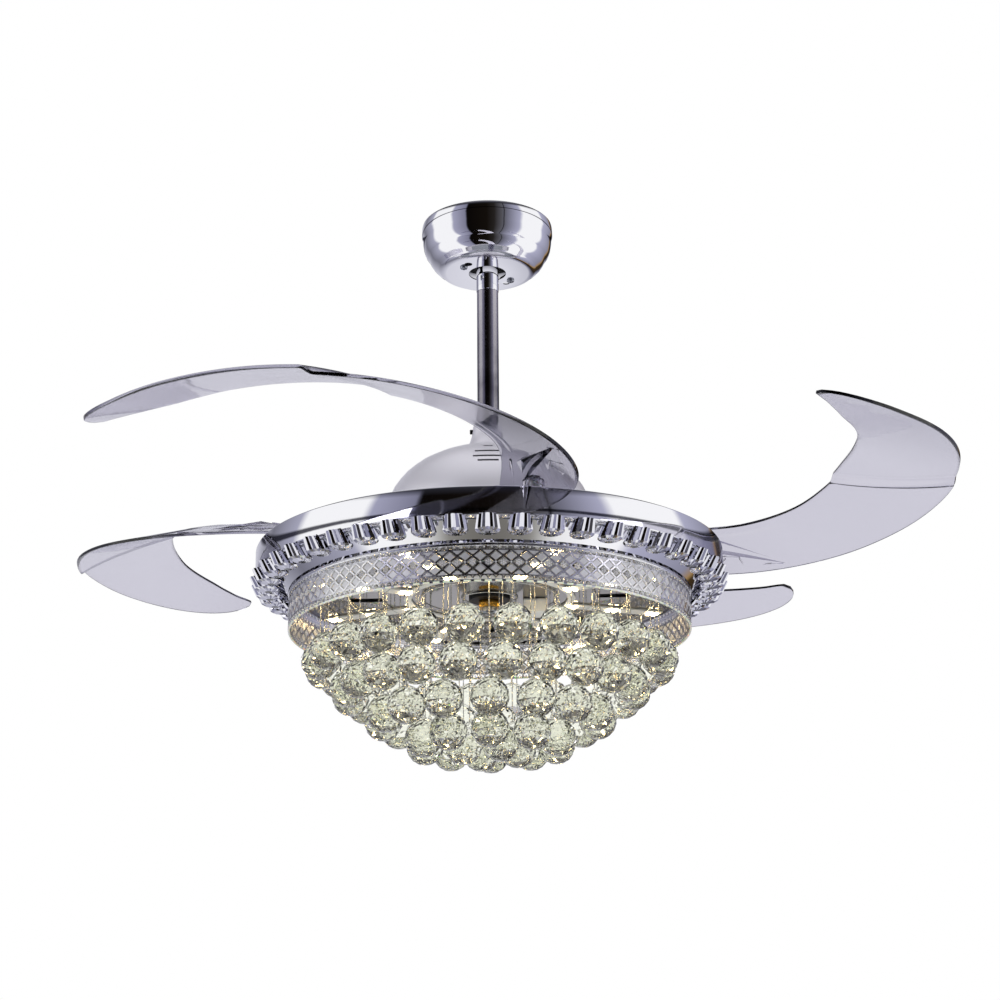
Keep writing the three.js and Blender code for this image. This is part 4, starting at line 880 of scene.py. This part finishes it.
# Polished stainless steel is a greyer and warmer mirror than chrome.
mirror = mottled_finish("polished_stainless_mirror", {"Metallic": 1.0, "Base Color": linear("#8C8882")},
                        cloud=60, dull=0.06, bright=0.02, relief=0.03)
plate = spun("mirror_disc", [
    (PLATE_BORE, plate_low), (PLATE_RADIUS - PLATE_EDGE, plate_low), (PLATE_RADIUS, plate_low + 0.5),
    (PLATE_RADIUS, plate_high - 0.5), (PLATE_RADIUS - PLATE_EDGE, plate_high), (PLATE_BORE, plate_high),
])
cut_out(plate, [
    placed(slab(*SLOT_SIZE, plate_low - 2, plate_high + 2, SLOT_RADIUS),
           turn=(0, 0, BOARD_TURN + (slot + 0.5) * 360 / SLOTS))
    for slot in range(SLOTS)
])
stands_for(plate, "mirror_plate", finish=mirror)
# Turned and polished brass has a warm golden shine with fine tool marks.
brass = mottled_finish("polished_brass", {"Metallic": 1.0, "Base Color": linear("#C79A45")},
                       cloud=5, dull=0.3, bright=0.18, relief=0.02)
for number in (1, 2, 3):
    dress(nodes[f"standoff_{number}"], brass)

# ---------------------------------------- LED board
# A circuit board in the shape of a star, with clusters of four warm-white LEDs along its arms. The chips
# are lit.
LED_RADII = (94, 142, 190)
LED_ARMS = 8
LED_GAP = 3.6
LED_SIZE = 4
LED_HEIGHT, LED_SINK = 1.3, 0.05
board_low = heights("led_board")[0]
# White solder mask is an even, half-glossy lacquer.
masked = mottled_finish("white_masked_circuit_board", {"Base Color": linear("#ECEBE6")},
                        cloud=2, dull=0.5, bright=0.4, relief=0.01)
dress(nodes["led_board"], masked)
# Phosphor in silicone is a yellow square that glows warm white.
phosphor = mottled_finish("lit_led_phosphor", {
    "Base Color": linear("#FFE9B0"), "Emission Color": linear("#FFE2A6"), "Emission Strength": 36.0,
}, cloud=1, dull=0.5, bright=0.4)
chips = []
for arm in range(LED_ARMS):
    for radius in LED_RADII:
        for dx in (-LED_GAP, LED_GAP):
            for dy in (-LED_GAP, LED_GAP):
                chip = slab(LED_SIZE, LED_SIZE, board_low - LED_HEIGHT, board_low - LED_SINK, radius + dx, dy)
                chips.append(placed(chip, turn=(0, 0, BOARD_TURN + arm * 360 / LED_ARMS)))
chips = joined("led_chips", chips)
apply(chips, "BEVEL", width=0.4 * MM, segments=2, limit_method="ANGLE")
dress(chips, phosphor)
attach(chips, "hanging_frame")

# ---------------------------------------- centre washer, nut and driver
# A black plastic washer and a brass nut on the hollow shaft clamp the lamp. The driver is a small white
# moulded box on the underside of the mirror plate.
WASHER_RADIUS = 22
WASHER_EDGE = 0.8
NUT_RADIUS = 13
washer_low, washer_high = heights("centre_washer")
washer = spun("clamp_washer", [
    (PLATE_BORE, washer_low), (WASHER_RADIUS - WASHER_EDGE, washer_low),
    (WASHER_RADIUS, washer_low + WASHER_EDGE), (WASHER_RADIUS, washer_high), (PLATE_BORE, washer_high),
], 64)
stands_for(washer, "centre_washer", finish=black_nylon)
nut_low, nut_high = heights("centre_nut")
nut = peg(NUT_RADIUS, nut_low, nut_high, sides=6)
cut_out(nut, [peg(PLATE_BORE, nut_low - 2, nut_high + 2, sides=48)])
apply(nut, "BEVEL", width=0.7 * MM, segments=3, limit_method="ANGLE", angle_limit=math.radians(40))
bpy.ops.object.shade_smooth_by_angle(angle=math.radians(25))
nut.name = "clamp_nut"
stands_for(nut, "centre_nut", finish=brass)
# Moulded ABS is white and half glossy, with a fine spark-eroded grain.
shell = mottled_finish("moulded_white_abs", {"Base Color": linear("#F1F0EB"), "IOR": 1.53},
                       cloud=0.8, dull=0.5, bright=0.35, relief=0.02)
box_low, box_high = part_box("led_driver")
centre = (box_low + box_high) / 2 / MM
size = (box_high - box_low) / MM
driver = slab(size.x, size.y, box_low.z / MM, box_high.z / MM, centre.x, centre.y)
driver.name = "driver_box"
apply(driver, "BEVEL", width=1.6 * MM, segments=4, limit_method="ANGLE")
bpy.ops.object.shade_smooth_by_angle(angle=math.radians(40))
stands_for(driver, "led_driver", finish=shell)

# ---------------------------------------- tiers of cut glass balls
# Forty-millimetre balls of clear lead glass, cut all over in flat facets, each hung from the ring of its
# tier by a drawn steel wire with a bow at the ball.
BALL_RADIUS = 20
BALL_RINGS = 9
BALL_SEGMENTS = 14
TIERS = [  # each tier's radius, level, number of balls and turn
    (180, -118, 24, 7.5), (150, -148, 21, 1), (114, -177, 15, 6), (73, -201, 10, 18), (30, -207, 4, 20),
]
WIRE_RADIUS = 0.55
BOW_RADIUS, BOW_WIRE = 2.2, 0.5
BOW_LEVEL, BOW_TOP = 1.6, 3.4
CAP_RADIUS = 2.2
HANGER_RING_WIRE = 0.6
HANGER_DROP = 1.6
# Drawn stainless wire is pale and half bright along its length.
steel_wire = mottled_finish("drawn_steel_wire", {"Metallic": 1.0, "Base Color": linear("#E2E2DC")},
                            cloud=4, dull=0.3, bright=0.2, relief=0.01)
# Every second ring of corners is turned by half a facet, and the hull of them all is the cut ball.
bpy.ops.mesh.primitive_uv_sphere_add(segments=BALL_SEGMENTS, ring_count=BALL_RINGS, radius=BALL_RADIUS * MM)
cut_ball = bpy.context.object
levels = sorted({round(vertex.co.z, 6) for vertex in cut_ball.data.vertices})
for vertex in cut_ball.data.vertices:
    if levels.index(round(vertex.co.z, 6)) % 2:
        vertex.co.rotate(Matrix.Rotation(math.pi / BALL_SEGMENTS, 3, "Z"))
only(cut_ball)
bpy.ops.object.mode_set(mode="EDIT")
bpy.ops.mesh.select_all(action="SELECT")
bpy.ops.mesh.convex_hull()
bpy.ops.object.mode_set(mode="OBJECT")
for number, (radius, level, count, turn) in enumerate(TIERS, 1):
    high = LAMP_TOP + level + BALL_RADIUS
    turns = [turn + place * 360 / count for place in range(count)]
    sample = placed(turned_copy(cut_ball, 0), place=(radius, 0, LAMP_TOP + level))
    balls = joined(f"glass_balls_{number}", repeated(sample, turns))
    stands_for(balls, f"crystal_tier_{number}", finish=glass)
    bpy.ops.mesh.primitive_torus_add(
        major_radius=BOW_RADIUS * MM, minor_radius=BOW_WIRE * MM, major_segments=16, minor_segments=6)
    bow = placed(bpy.context.object, turn=(90, 0, 0), place=(radius, 0, high + BOW_LEVEL))
    drop = peg(WIRE_RADIUS, high + BOW_TOP, plate_low + 0.1, radius, sides=8)
    cap = peg(CAP_RADIUS, high - 0.6, high + 0.5, radius, sides=12)
    hanger = joined("hanger", [bow, drop, cap])
    bpy.ops.mesh.primitive_torus_add(
        major_radius=radius * MM, minor_radius=HANGER_RING_WIRE * MM, major_segments=96, minor_segments=8)
    hoop = placed(bpy.context.object, place=(0, 0, plate_low - HANGER_DROP))
    hangers = joined(f"hanger_wires_{number}", [hoop, *repeated(hanger, turns)])
    only(hangers)
    bpy.ops.object.shade_smooth_by_angle(angle=math.radians(50))
    stands_for(hangers, f"crystal_tier_{number}", finish=steel_wire)
bpy.data.objects.remove(cut_ball)
